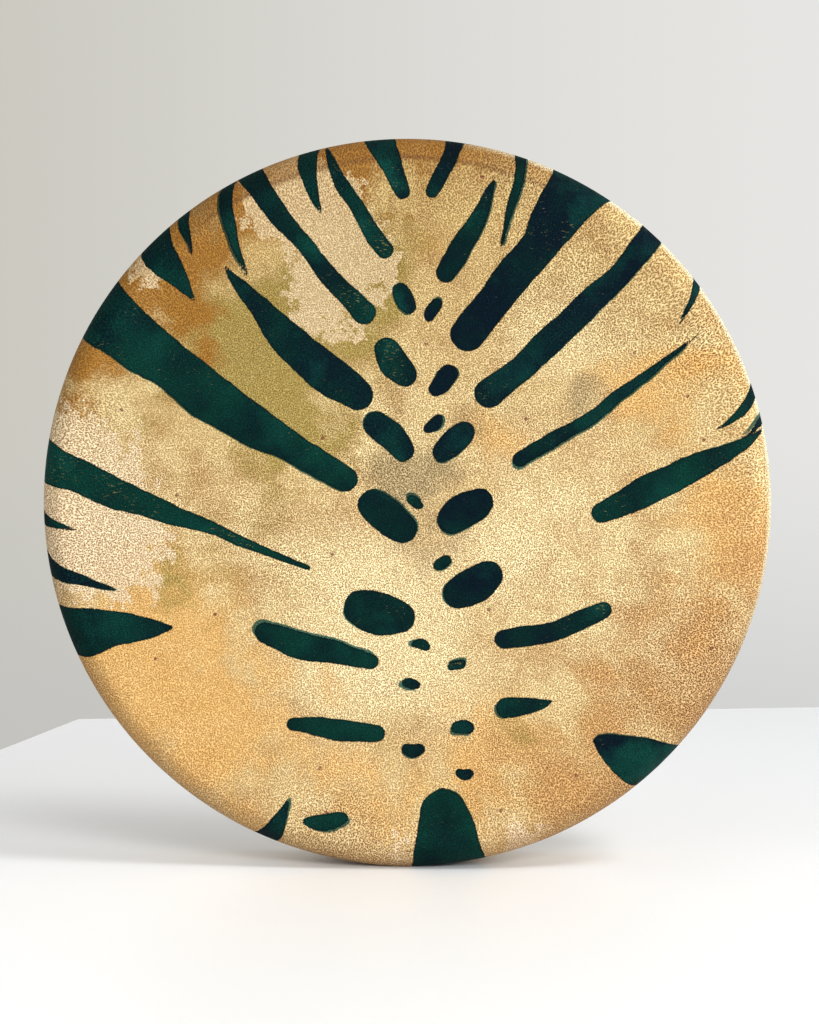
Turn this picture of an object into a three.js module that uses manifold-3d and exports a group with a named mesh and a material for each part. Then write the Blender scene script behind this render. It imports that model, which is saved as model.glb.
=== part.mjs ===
// A laced frame drum, standing on its edge with the head facing -Y.
//
// One bent wooden board makes the hoop, closed by a long glued scarf joint with metal pins through it.
// A rawhide head is drawn over the rounded bearing edge, covers the outside of the hoop, folds over its
// back edge and ends in a scalloped lip with a ring of holes. A rawhide lace runs from the holes to a
// small metal ring in the middle of the open back. Its strands are gathered into four bundles, each
// bound with a leather sleeve, and together they are the hand grip.
//
// Millimetres, +Z up. The origin is the middle of the drum's footprint on the surface it stands on.
// Every piece is made in the drum's own frame first: its axis is z, z = 0 is the middle of the hoop's
// depth, the head is at +z and the open back at -z. The last lines stand that frame on its edge.
import * as THREE from "three";
import { mergeVertices } from "three/addons/utils/BufferGeometryUtils.js";
import Module from "manifold-3d";

// Driving dimensions.
const HOOP_RADIUS = 200; // outside of the wood
const HOOP_WALL = 12;
const HOOP_DEPTH = 60;
const BEARING_ROUND = { radial: 10, axial: 12 }; // quarter ellipse on the outer front corner
const EDGE_ROUND = 2; // the hoop's back corners
const EDGE_BREAK = 1; // the hoop's inner front corner
const SKIN = 1; // rawhide thickness
const GAP = 0.3; // between pieces that touch
const LIP_RADIUS = 170; // inner edge of the folded skin
const LIP_SLOPE = THREE.MathUtils.degToRad(28); // the lip leans in towards the head
const HOLE_COUNT = 24;
const HOLE_CIRCLE = 177; // radius of the circle that the lace holes lie on
const HOLE_RADIUS = 3.2;
const SCALLOP = { centre: 144.5, radius: 30, height: 16, sides: 36 }; // a round bite between two holes
const LACE_RADIUS = 1.7;
const LACE_CLEARANCE = 0.4;
const RING_RADIUS = 20; // centreline of the bar
const RING_BAR_RADIUS = 2.6;
const GRIP_PLANE = -23.8; // height of the lacing and the ring
// A strand's way round the lip: its run behind the lip, how deep it dips through the hole, how far it
// goes over the lip before it is level, and the sharpness of its bends.
const STRAND = { runOutside: 0.8, runBehind: 3, dip: 2.8, rise: 0.5, overLip: 7.9, above: 0.2, bend: 2.2 };
const BUNDLE = { mouth: 5, mouthBend: 6, layerGap: 0.2, barGap: 0.5, hookStart: 3 };
const SLEEVE = { start: 33, end: 78, inner: 6.5, outer: 8.3 };
const SCARF = { centre: -60, span: 34, rows: [-14, 14], columns: [-12, 0, 12] }; // degrees, mm
const PIN = { shank: 1.4, head: 3.1, dome: 1.6, hole: 1.75, sides: 10 };

// Facets round the drum. One of them is centred on the lowest point, so that the drum stands on a flat.
const SIDES = 60;
const BUNDLES = 4;
const STRANDS_PER_BUNDLE = HOLE_COUNT / BUNDLES;

const HALF_DEPTH = HOOP_DEPTH / 2;
const HOOP_INNER_RADIUS = HOOP_RADIUS - HOOP_WALL;
const FACET = Math.cos(Math.PI / SIDES); // a facet's distance from the axis, as a share of its corners'
const HOLE_STEP = (2 * Math.PI) / HOLE_COUNT;
const { degToRad } = THREE.MathUtils;

const wasm = await Module();
wasm.setup();

// ---- Materials ----

const finish = (color, roughness, metalness = 0) =>
  new THREE.MeshStandardMaterial({ color, roughness, metalness });
const MATERIALS = {
  rawhide: finish(0xd3ae6c, 0.62),
  wood: finish(0xb98a58, 0.6),
  lace: finish(0xd9bd86, 0.65),
  leather: finish(0x6b4226, 0.8),
  brass: finish(0xb08a45, 0.35, 1),
  copper: finish(0xa9643f, 0.4, 1),
};

// ---- Geometry helpers ----

function toSolid(geometry) {
  const bare = geometry.index ? geometry.toNonIndexed() : geometry.clone();
  bare.deleteAttribute("normal");
  bare.deleteAttribute("uv");
  const merged = mergeVertices(bare, 1e-4);
  return new wasm.Manifold(
    new wasm.Mesh({
      numProp: 3,
      vertProperties: merged.attributes.position.array,
      triVerts: new Uint32Array(merged.index.array),
    }),
  );
}

function toGeometry(solid) {
  const { vertProperties, triVerts } = solid.getMesh();
  const geometry = new THREE.BufferGeometry();
  geometry.setAttribute("position", new THREE.BufferAttribute(vertProperties, 3));
  geometry.setIndex(new THREE.BufferAttribute(triVerts, 1));
  geometry.computeVertexNormals();
  return geometry;
}

const cutAll = (solid, cutters) => cutters.reduce((rest, cutter) => rest.subtract(cutter), solid);

// Turns a profile of [radius, z] points about the drum's axis.
function turned(profile, sides = SIDES) {
  const points = profile.map(([radius, z]) => new THREE.Vector2(radius, z));
  return new THREE.LatheGeometry(points, sides, Math.PI / sides).rotateX(Math.PI / 2);
}

// Points of a quarter ellipse about [r, z], from the angle `from` to `to` in degrees, measured from +z.
function arc([r, z], radial, axial, from, to, steps) {
  return Array.from({ length: steps + 1 }, (_, i) => {
    const angle = degToRad(from + ((to - from) * i) / steps);
    return [r + radial * Math.sin(angle), z + axial * Math.cos(angle)];
  });
}

const polar = (radius, angle, z) =>
  new THREE.Vector3(radius * Math.cos(angle), radius * Math.sin(angle), z);

// ---- Hoop ----

// The middle of the bearing edge's curve, as [radius, z], and its number of facets.
const BEARING_CENTRE = [HOOP_RADIUS - BEARING_ROUND.radial, HALF_DEPTH - BEARING_ROUND.axial];
const BEARING_FACETS = 5;

function hoopProfile() {
  return [
    [HOOP_INNER_RADIUS + EDGE_BREAK, HALF_DEPTH],
    ...arc(BEARING_CENTRE, BEARING_ROUND.radial, BEARING_ROUND.axial, 0, 90, BEARING_FACETS),
    [HOOP_RADIUS, EDGE_ROUND - HALF_DEPTH],
    [HOOP_RADIUS - EDGE_ROUND, -HALF_DEPTH],
    [HOOP_INNER_RADIUS + EDGE_ROUND, -HALF_DEPTH],
    [HOOP_INNER_RADIUS, EDGE_ROUND - HALF_DEPTH],
    [HOOP_INNER_RADIUS, HALF_DEPTH - EDGE_BREAK],
    [HOOP_INNER_RADIUS + EDGE_BREAK, HALF_DEPTH],
  ].reverse();
}

// The saw line of the scarf joint: a thin strip that leaves the inside of the wall and reaches its
// outside `span` degrees further round, as long as the hoop is deep.
function scarfCutter() {
  const steps = 12;
  const overshoot = 2;
  const line = (offset) =>
    Array.from({ length: steps + 1 }, (_, i) => {
      const along = i / steps;
      const angle = degToRad(SCARF.centre + (along - 0.5) * SCARF.span);
      const radius = HOOP_INNER_RADIUS - overshoot + along * (HOOP_WALL + 2 * overshoot) + offset;
      return new THREE.Vector2(radius * Math.cos(angle), radius * Math.sin(angle));
    });
  const strip = new THREE.Shape([...line(-GAP / 2), ...line(GAP / 2).reverse()]);
  const height = HOOP_DEPTH + 2 * overshoot;
  const cutter = new THREE.ExtrudeGeometry(strip, { depth: height, bevelEnabled: false });
  return toSolid(cutter.translate(0, 0, -height / 2));
}

// Where each scarf pin goes: its angle round the hoop and its height.
const pinPlaces = SCARF.columns.flatMap((column) =>
  SCARF.rows.map((z) => ({ angle: degToRad(SCARF.centre + column), z })),
);

// Moves a geometry made along +Y so that its axis points outwards along a radius of the drum.
const alongRadius = (geometry, radius, angle, z) =>
  geometry
    .rotateZ(angle - Math.PI / 2)
    .translate(radius * Math.cos(angle), radius * Math.sin(angle), z);

function makeHoop() {
  const middle = HOOP_INNER_RADIUS + HOOP_WALL / 2;
  const overshoot = 2;
  const pinHoles = pinPlaces.map(({ angle, z }) => {
    const drill = HOOP_WALL + 2 * overshoot;
    const hole = new THREE.CylinderGeometry(PIN.hole, PIN.hole, drill, PIN.sides);
    return toSolid(alongRadius(hole, middle, angle, z));
  });
  return toGeometry(cutAll(toSolid(turned(hoopProfile())), [scarfCutter(), ...pinHoles]));
}

// A clench pin with a domed head on the inside of the hoop, its shank ending under the skin.
function makePin({ angle, z }) {
  const seat = HOOP_INNER_RADIUS * FACET - GAP;
  const length = HOOP_RADIUS * FACET - GAP - seat;
  const rim = PIN.dome / 5; // thickness of the head at its edge
  const dome = arc([0, -rim], PIN.head, PIN.dome - rim, 180, 90, 3);
  const profile = [
    ...dome.map(([x, y]) => [Math.max(x, 0), y]),
    [PIN.head, 0],
    [PIN.shank, 0],
    [PIN.shank, length],
    [0, length],
  ].map(([x, y]) => new THREE.Vector2(x, y));
  return alongRadius(new THREE.LatheGeometry(profile, PIN.sides), seat, angle, z);
}

// ---- Head ----

// The lip is a cone. `along` runs inwards down its slope, `out` points away from it to the open back.
const LIP_START = { r: HOOP_INNER_RADIUS + 0.5, z: -HALF_DEPTH - GAP };
const LIP_CORNER = 0.25; // how much earlier the outer surface turns down the lip
const LIP_ALONG = { r: -Math.cos(LIP_SLOPE), z: Math.sin(LIP_SLOPE) };
const LIP_OUT = { r: -Math.sin(LIP_SLOPE), z: -Math.cos(LIP_SLOPE) };

// A point on the lip at the given radius, `offset` millimetres out from its head-side surface.
function onLip(radius, offset) {
  const along = (LIP_START.r - radius) / Math.cos(LIP_SLOPE);
  return [
    LIP_START.r + along * LIP_ALONG.r + offset * LIP_OUT.r,
    LIP_START.z + along * LIP_ALONG.z + offset * LIP_OUT.z,
  ];
}

// One surface of the skin, `offset` out from the wood, from the middle of the head to the lip.
function skinSurface(offset, lipOffset) {
  const { radial, axial } = BEARING_ROUND;
  const back = [HOOP_RADIUS - EDGE_ROUND, EDGE_ROUND - HALF_DEPTH];
  return [
    [0, HALF_DEPTH + offset],
    ...arc(BEARING_CENTRE, radial + offset, axial + offset, 0, 90, BEARING_FACETS),
    ...arc(back, EDGE_ROUND + offset, EDGE_ROUND + offset, 90, 180, 2),
    [LIP_START.r - LIP_CORNER * lipOffset, -HALF_DEPTH - offset],
    onLip(LIP_RADIUS, lipOffset),
  ];
}

// The cutter for a lace hole, square to the lip, at the given angle round the drum.
function holeCutter(angle) {
  const [holeR, holeZ] = onLip(HOLE_CIRCLE, SKIN / 2);
  const hole = new THREE.CylinderGeometry(HOLE_RADIUS, HOLE_RADIUS, 6 * SKIN, 8);
  return toSolid(
    hole
      .rotateZ(LIP_SLOPE)
      .rotateX(Math.PI / 2)
      .translate(holeR, 0, holeZ)
      .rotateZ(angle),
  );
}

// The cutter for a bite out of the lip's edge, which leaves a tongue of skin round each hole.
function scallopCutter(angle) {
  const { centre, radius, height, sides } = SCALLOP;
  const lipMiddle = onLip((LIP_START.r + LIP_RADIUS) / 2, 0)[1];
  const bite = new THREE.CylinderGeometry(radius, radius, height, sides);
  return toSolid(
    bite
      .rotateX(Math.PI / 2)
      .translate(centre, 0, lipMiddle)
      .rotateZ(angle),
  );
}

function makeHead() {
  const outside = skinSurface(GAP + SKIN, SKIN);
  const inside = skinSurface(GAP, 0);
  const skin = toSolid(turned([...outside, ...inside.reverse()].reverse()));
  const cutters = [];
  for (let i = 0; i < HOLE_COUNT; i++) {
    cutters.push(holeCutter((i + 0.5) * HOLE_STEP), scallopCutter((i + 1) * HOLE_STEP));
  }
  return toGeometry(cutAll(skin, cutters));
}

// ---- Lacing ----

// A curve that an extrusion follows through exactly the points it is given.
class Route extends THREE.Curve {
  constructor(points) {
    super();
    this.points = points;
  }
  getPoint(t, target = new THREE.Vector3()) {
    const last = this.points.length - 1;
    return target.copy(this.points[Math.round(t * last)]);
  }
  getPointAt(u, target) {
    return this.getPoint(u, target);
  }
  getTangentAt(u, target = new THREE.Vector3()) {
    const last = this.points.length - 1;
    const i = Math.round(u * last);
    const ahead = this.points[Math.min(i + 1, last)].clone().sub(this.points[i]).normalize();
    const behind = this.points[i].clone().sub(this.points[Math.max(i - 1, 0)]).normalize();
    return target.copy(ahead.add(behind).normalize());
  }
  getSpacedPoints(divisions) {
    return Array.from({ length: divisions + 1 }, (_, i) => this.getPoint(i / divisions));
  }
}

// Replaces a corner of a route by a bend of the given radius.
function bend(before, corner, after, radius, steps) {
  const back = before.clone().sub(corner).normalize();
  const on = after.clone().sub(corner).normalize();
  const turn = Math.PI - back.angleTo(on);
  const reach = radius * Math.tan(turn / 2);
  const start = corner.clone().addScaledVector(back, reach);
  const end = corner.clone().addScaledVector(on, reach);
  const curve = new THREE.QuadraticBezierCurve3(start, corner, end);
  return curve.getPoints(steps);
}

// Half a loop of lace: from the middle of its run behind the lip, up through its hole, over the lip and
// straight to the mouth of its bundle. `side` is -1 or 1, the side its run lies on.
function strandToMouth(angle, side, mouth) {
  const runRadius = HOLE_CIRCLE + STRAND.runOutside;
  const runZ = onLip(runRadius, -STRAND.runBehind)[1];
  const [inR, inZ] = onLip(HOLE_CIRCLE, SKIN / 2 - STRAND.dip);
  const [outR, outZ] = onLip(HOLE_CIRCLE, SKIN / 2 + STRAND.rise + LACE_CLEARANCE + LACE_RADIUS);
  const joinGap = degToRad(0.1); // between the ends of neighbouring loops
  const runEnd = polar(runRadius, angle + side * (HOLE_STEP / 2 - joinGap), runZ);
  const runMiddle = polar(runRadius, angle + side * HOLE_STEP * 0.3, runZ);
  const under = polar(inR, angle, inZ);
  const over = polar(outR, angle, outZ);
  const towards = mouth.clone().sub(over).setZ(0).normalize();
  const lip = over.clone().addScaledVector(towards, STRAND.overLip);
  lip.setZ(GRIP_PLANE + STRAND.above);
  const middle = new THREE.Vector3(0, mouth.y, mouth.z);
  return [
    runEnd,
    runMiddle,
    ...bend(runMiddle, under, over, STRAND.bend, 2),
    ...bend(under, over, lip, STRAND.bend, 2),
    lip,
    ...bend(lip, mouth, middle, BUNDLE.mouthBend, 2),
  ];
}

// One whole loop of the lace: hole, bundle, round the bar of the ring, bundle, next hole.
// `across` is its place across the bundle, whose axis is +x.
function makeLaceLoop(firstHole, across) {
  const layer = LACE_RADIUS + BUNDLE.layerGap; // half the distance between the bundle's two layers
  const hook = RING_BAR_RADIUS + BUNDLE.barGap + LACE_RADIUS;
  const mouth = SLEEVE.end + BUNDLE.mouth;
  const barX = Math.sqrt(RING_RADIUS ** 2 - across ** 2);
  const point = (x, z) => new THREE.Vector3(x, across, GRIP_PLANE + z);
  const turn = [-90, -45, 0, 45, 90].map((degrees) => {
    const angle = degToRad(degrees);
    return point(barX - hook * Math.cos(angle), hook * Math.sin(angle));
  });
  const lower = strandToMouth(firstHole, -1, point(mouth, -layer));
  const upper = strandToMouth(firstHole + HOLE_STEP, 1, point(mouth, layer));
  const route = [
    ...lower,
    point(SLEEVE.start, -layer),
    point(barX + BUNDLE.hookStart, -hook),
    ...turn,
    point(barX + BUNDLE.hookStart, hook),
    point(SLEEVE.start, layer),
    ...upper.reverse(),
  ];
  const sides = 8;
  const section = new THREE.Shape(
    Array.from({ length: sides }, (_, i) => {
      const angle = (i * 2 * Math.PI) / sides;
      return new THREE.Vector2(LACE_RADIUS * Math.cos(angle), LACE_RADIUS * Math.sin(angle));
    }),
  );
  return new THREE.ExtrudeGeometry(section, {
    steps: route.length - 1,
    extrudePath: new Route(route),
  });
}

// ---- Grip ----

function makeSleeve() {
  const outline = new THREE.Shape().absarc(0, 0, SLEEVE.outer, 0, 2 * Math.PI);
  outline.holes.push(new THREE.Path().absarc(0, 0, SLEEVE.inner, 0, 2 * Math.PI, true));
  const length = SLEEVE.end - SLEEVE.start;
  return new THREE.ExtrudeGeometry(outline, {
    depth: length,
    bevelEnabled: false,
    curveSegments: 8,
  });
}

const makeRing = () => new THREE.TorusGeometry(RING_RADIUS, RING_BAR_RADIUS, 10, 32);

// ---- Assembly ----

function piece(name, geometry, material) {
  const mesh = new THREE.Mesh(geometry, material);
  mesh.name = name;
  return mesh;
}

// Three loops of lace and a sleeve, along one arm of the cross.
function makeBundle(number, laceGeometries, sleeveGeometry) {
  const bundle = new THREE.Group();
  laceGeometries.forEach((geometry, i) => {
    const loop = number * laceGeometries.length + i + 1;
    bundle.add(piece(`lace_loop_${String(loop).padStart(2, "0")}`, geometry, MATERIALS.lace));
  });
  const sleeve = piece(`grip_sleeve_${number + 1}`, sleeveGeometry, MATERIALS.leather);
  sleeve.rotation.y = Math.PI / 2;
  sleeve.position.set(SLEEVE.start, 0, GRIP_PLANE);
  bundle.add(sleeve);
  bundle.rotation.z = (number * 2 * Math.PI) / BUNDLES;
  return bundle;
}

const drum = new THREE.Group();
drum.add(piece("hoop", makeHoop(), MATERIALS.wood));
drum.add(piece("head", makeHead(), MATERIALS.rawhide));
pinPlaces.forEach((place, i) => {
  drum.add(piece(`scarf_pin_${i + 1}`, makePin(place), MATERIALS.copper));
});

const ring = piece("grip_ring", makeRing(), MATERIALS.brass);
ring.position.z = GRIP_PLANE;
drum.add(ring);

const loopsPerBundle = STRANDS_PER_BUNDLE / 2;
const laceGeometries = Array.from({ length: loopsPerBundle }, (_, i) => {
  const firstHole = (2 * i + 0.5 - STRANDS_PER_BUNDLE / 2) * HOLE_STEP;
  const across = (i - (loopsPerBundle - 1) / 2) * (2 * LACE_RADIUS + LACE_CLEARANCE);
  return makeLaceLoop(firstHole, across);
});
const sleeveGeometry = makeSleeve();
for (let number = 0; number < BUNDLES; number++) {
  drum.add(makeBundle(number, laceGeometries, sleeveGeometry));
}

// Stand the drum on its edge: the head turns to face -Y, and the lowest facet comes down to z = 0.
drum.rotation.x = Math.PI / 2;
drum.position.z = (HOOP_RADIUS + GAP + SKIN) * FACET;

const frameDrum = new THREE.Group();
frameDrum.add(drum);

export default frameDrum;
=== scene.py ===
"""A laced frame drum with a painted rawhide head, standing on its edge on a white table.

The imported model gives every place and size. The parts here are finer versions of its nodes: the hide,
the bent hoop, the lace, the grip ring with its leather sleeves, and the pins of the scarf joint.

The drum's axis is horizontal, along Y. A point on it is given by its angle round the axis, measured from
+X towards +Z, its radius, and y. The head faces -Y.
"""

import math

import bpy
import numpy as np
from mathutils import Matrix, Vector


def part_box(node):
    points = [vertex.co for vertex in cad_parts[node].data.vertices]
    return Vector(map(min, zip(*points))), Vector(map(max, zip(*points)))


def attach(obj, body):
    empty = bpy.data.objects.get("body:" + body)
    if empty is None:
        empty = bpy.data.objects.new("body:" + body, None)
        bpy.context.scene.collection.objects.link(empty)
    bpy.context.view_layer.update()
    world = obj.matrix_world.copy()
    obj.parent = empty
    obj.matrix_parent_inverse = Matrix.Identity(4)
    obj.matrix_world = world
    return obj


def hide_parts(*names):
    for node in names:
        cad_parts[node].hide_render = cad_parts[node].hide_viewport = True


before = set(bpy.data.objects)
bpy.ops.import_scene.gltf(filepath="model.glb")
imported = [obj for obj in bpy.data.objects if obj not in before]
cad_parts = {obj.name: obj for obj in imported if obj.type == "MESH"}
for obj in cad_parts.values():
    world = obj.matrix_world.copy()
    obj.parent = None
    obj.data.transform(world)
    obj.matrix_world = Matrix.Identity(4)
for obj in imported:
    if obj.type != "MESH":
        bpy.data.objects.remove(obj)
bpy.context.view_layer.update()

MM = 0.001

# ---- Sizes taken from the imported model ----

HEAD_LOW, HEAD_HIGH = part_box("head")
HOOP_LOW, HOOP_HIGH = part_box("hoop")
RING_LOW, RING_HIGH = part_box("grip_ring")
AXIS = Vector((0, 0, (HEAD_LOW.z + HEAD_HIGH.z) / 2))
RADIUS = (HEAD_HIGH.x - HEAD_LOW.x) / 2
FACE_Y, BACK_Y = HEAD_LOW.y, HEAD_HIGH.y
HOOP_FRONT, HOOP_BACK = HOOP_LOW.y, HOOP_HIGH.y
GRIP_Y = (RING_LOW.y + RING_HIGH.y) / 2
RING_BAR = (RING_HIGH.y - RING_LOW.y) / 2
RING_RADIUS = (RING_HIGH.x - RING_LOW.x) / 2 - RING_BAR

# ---- Driving dimensions, as in the model ----

SKIN = 1 * MM
SKIN_GAP = 0.3 * MM  # between hide and wood
FOLD = 3 * MM  # radius of the fold at the back
HOOP_WALL = 12 * MM
HOLE_COUNT = 24
HOLE_STEP = 2 * math.pi / HOLE_COUNT
HOLE_CIRCLE = 177 * MM
HOLE_RADIUS = 3.2 * MM
LIP_TOP = 188.5 * MM  # radius where the lip leaves the hoop's back edge
LIP_EDGE = 170 * MM
LIP_SLOPE = math.radians(28)
SCALLOP = {"centre": 144.5 * MM, "radius": 30 * MM}
SHOULDER = {"radial": 12 * MM, "axial": 12.5 * MM, "power": 1.55}
FLAT_RADIUS = RADIUS - SHOULDER["radial"]
LACE_RADIUS = 1.7 * MM
SLEEVE = {"start": 33 * MM, "end": 78 * MM, "inner": 6.6 * MM, "outer": 8.2 * MM}
SCARF = {"centre": math.radians(-60), "span": math.radians(34), "gap": 0.25 * MM}
PIN_COUNT = 6
BUNDLES = 4
LOOPS_PER_BUNDLE = HOLE_COUNT // BUNDLES // 2

# The hide's mesh: cells across the face, so four times as many round the rim.
FACE_CELLS = 204
INSIDE_CELLS = FACE_CELLS // 2


# ---- Small helpers ----

def smoothstep(low, high, x):
    t = np.clip((x - low) / (high - low), 0.0, 1.0)
    return t * t * (3 - 2 * t)


def wobble(x, seed, terms=5, base=1.0):
    """A smooth, seeded sum of sines of the angle x that closes on itself, about -1 to 1."""
    rng = np.random.default_rng(seed)
    total = np.zeros_like(np.asarray(x, float))
    weight = 0.0
    for k in range(1, terms + 1):
        wave = round(base * k)
        strength = rng.uniform(0.5, 1.0) / k**0.5
        total = total + strength * np.sin(wave * np.asarray(x) + rng.uniform(0, 2 * math.pi))
        weight += strength
    return total / weight


def new_mesh(name, points, faces, attributes=None, smooth=True):
    """An object from an array of points and a list of face corner lists, with vertex attributes."""
    used = np.unique(np.concatenate([np.asarray(face) for face in faces]))
    new_index = np.full(len(points), -1)
    new_index[used] = np.arange(len(used))
    faces = [new_index[list(face)].tolist() for face in faces]
    mesh = bpy.data.meshes.new(name)
    mesh.from_pydata(np.asarray(points)[used].tolist(), [], faces)
    for key, values in (attributes or {}).items():
        values = np.asarray(values, np.float32)[used]
        kind, field = ("FLOAT", "value") if values.ndim == 1 else ("FLOAT_VECTOR", "vector")
        mesh.attributes.new(key, kind, "POINT").data.foreach_set(field, values.ravel())
    mesh.polygons.foreach_set("use_smooth", [smooth] * len(mesh.polygons))
    mesh.update()
    piece = bpy.data.objects.new(name, mesh)
    bpy.context.scene.collection.objects.link(piece)
    return piece


def place(radius, angle, y):
    """World points from radius, angle and y, which may be arrays."""
    radius, angle, y = np.broadcast_arrays(radius, angle, y)
    return np.stack([radius * np.cos(angle), y, AXIS.z + radius * np.sin(angle)], -1)


def tube_faces(rows, sides, ring=False):
    """Quads between rows of points that run round a tube. A ring joins its last row to its first."""
    faces = []
    for i in range(rows if ring else rows - 1):
        this, following = i * sides, (i + 1) % rows * sides
        for k in range(sides):
            beside = (k + 1) % sides
            faces.append((this + k, this + beside, following + beside, following + k))
    return faces


def end_faces(rows, sides):
    return [tuple(range(sides))[::-1], tuple(range((rows - 1) * sides, rows * sides))]


def finish_piece(piece, material, slot, *nodes):
    piece.data.materials.append(material)
    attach(piece, "root")
    if nodes:
        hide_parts(*nodes)
    return piece


# ---- Material helpers ----

class Nodes:
    """Short names for the shader nodes that a new material or world is made of."""

    def __init__(self, owner):
        owner.use_nodes = True
        self.owner = owner
        self.tree = owner.node_tree

    def add(self, kind, inputs=None, **settings):
        node = self.tree.nodes.new("ShaderNode" + kind)
        for key, value in settings.items():
            setattr(node, key, value)
        for key, value in (inputs or {}).items():
            self.set(node.inputs[key], value)
        return node

    def set(self, socket, value):
        if isinstance(value, bpy.types.NodeSocket):
            self.tree.links.new(value, socket)
        elif isinstance(value, (tuple, list)) and len(value) == 3 and socket.type == "RGBA":
            socket.default_value = (*value, 1.0)
        else:
            socket.default_value = value

    def attribute(self, name, output="Fac"):
        return self.add("Attribute", attribute_name=name).outputs[output]

    def split(self, vector):
        return self.add("SeparateXYZ", {0: vector}).outputs

    def scaled(self, vector, scale):
        return self.add("Mapping", {0: vector, "Scale": scale}).outputs[0]

    def noise(self, vector, scale, detail=4.0, roughness=0.55, distortion=0.0):
        inputs = {"Vector": vector, "Scale": scale, "Detail": detail, "Roughness": roughness}
        inputs["Distortion"] = distortion
        return self.add("TexNoise", inputs).outputs["Fac"]

    def noise_flat(self, vector, scale, detail=4.0, roughness=0.55, output="Fac"):
        """Noise of the first two coordinates only."""
        inputs = {"Vector": vector, "Scale": scale, "Detail": detail, "Roughness": roughness}
        return self.add("TexNoise", inputs, noise_dimensions="2D").outputs[output]

    def cells_flat(self, vector, scale):
        """The distance to the middle of a cell, of the first two coordinates only."""
        inputs = {"Vector": vector, "Scale": scale}
        return self.add("TexVoronoi", inputs, voronoi_dimensions="2D").outputs["Distance"]

    def math(self, operation, *values):
        return self.add("Math", dict(enumerate(values)), operation=operation).outputs[0]

    def plus(self, a, b):
        return self.math("ADD", a, b)

    def minus(self, a, b):
        return self.math("SUBTRACT", a, b)

    def times(self, a, b):
        return self.math("MULTIPLY", a, b)

    def times_plus(self, a, b, c):
        return self.math("MULTIPLY_ADD", a, b, c)

    def centred(self, noise):
        """A noise about one half, moved to swing about zero."""
        return self.math("SUBTRACT", noise, 0.5)

    def shifted(self, vector, offset, amount):
        """The vector moved by a small multiple of another."""
        small = self.add("VectorMath", {0: offset, "Scale": amount}, operation="SCALE").outputs[0]
        return self.add("VectorMath", {0: vector, 1: small}, operation="ADD").outputs[0]

    def span(self, value, low, high, to_low=0.0, to_high=1.0, smooth=False):
        inputs = {"Value": value, "From Min": low, "From Max": high}
        inputs.update({"To Min": to_low, "To Max": to_high})
        kind = "SMOOTHSTEP" if smooth else "LINEAR"
        return self.add("MapRange", inputs, interpolation_type=kind, clamp=True).outputs[0]

    def blend(self, factor, a, b, mode="MIX"):
        inputs = {0: factor, 6: a, 7: b}
        return self.add("Mix", inputs, data_type="RGBA", blend_type=mode).outputs[2]

    def tinted(self, colour, tint):
        return self.blend(1.0, colour, tint, "MULTIPLY")

    def bump(self, height, distance, strength=1.0, normal=None):
        inputs = {"Height": height, "Distance": distance, "Strength": strength}
        if normal is not None:
            inputs["Normal"] = normal
        return self.add("Bump", inputs).outputs[0]

    def done(self, colour, roughness, normal=None, **others):
        """Sets a material's shader. The other inputs are named with underscores for spaces."""
        inputs = self.tree.nodes["Principled BSDF"].inputs
        self.set(inputs["Base Color"], colour)
        self.set(inputs["Roughness"], roughness)
        if normal is not None:
            self.set(inputs["Normal"], normal)
        for key, value in others.items():
            self.set(inputs[key.replace("_", " ")], value)
        return self.owner


def material_nodes(name):
    return Nodes(bpy.data.materials.new(name))


# ---- The painted leaf ----
#
# A plain split leaf, set out by rule: a midrib rises from a stalk at the foot, oval holes lie along both
# sides of it, and slits run out between the veins to the rim. Places are in units of the drum's radius,
# x right and z up. A mark follows a bent line between two ends, with a half-width at its start, middle
# and end.

# One row for each gap between two veins, from the foot up: height on the midrib, length of the oval
# beside the midrib (0 for none), how far out the slit starts (0 for none) and where it stops as a share
# of the way to the rim, its half-widths, and how green its paint is.
LEFT_ROWS = (
    (-0.83, 0.000, 0.28, 0.52, (0.016, 0.022, 0.010), 0.6),
    (-0.64, 0.070, 0.17, 0.38, (0.022, 0.030, 0.020), 0.6),
    (-0.47, 0.060, 0.18, 0.40, (0.022, 0.036, 0.028), 0.6),
    (-0.30, 0.215, 0.36, 1.00, (0.006, 0.030, 0.070), 0.7),
    (-0.08, 0.200, 0.27, 1.00, (0.034, 0.064, 0.088), 0.6),
    (0.13, 0.185, 0.25, 0.74, (0.046, 0.044, 0.001), 0.3),
    (0.33, 0.160, 0.25, 1.00, (0.030, 0.026, 0.040), 0.45),
    (0.52, 0.100, 0.20, 0.90, (0.024, 0.020, 0.001), 0.5),
    (0.72, 0.000, 0.14, 1.00, (0.022, 0.036, 0.040), 0.3),
)
RIGHT_ROWS = (
    (-0.70, 0.060, 0.00, 0.00, (0, 0, 0), 0.5),
    (-0.58, 0.070, 0.19, 0.36, (0.026, 0.020, 0.001), 0.5),
    (-0.42, 0.060, 0.20, 0.46, (0.026, 0.030, 0.022), 0.4),
    (-0.25, 0.200, 0.52, 0.93, (0.030, 0.036, 0.001), 0.6),
    (-0.05, 0.180, 0.31, 0.84, (0.020, 0.017, 0.001), 0.2),
    (0.13, 0.150, 0.25, 1.00, (0.040, 0.034, 0.036), 0.05),
    (0.30, 0.110, 0.21, 1.00, (0.044, 0.056, 0.095), 0.1),
    (0.50, 0.075, 0.15, 0.72, (0.026, 0.028, 0.001), 0.4),
    (0.74, 0.000, 0.12, 1.00, (0.018, 0.024, 0.028), 0.1),
)
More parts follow.
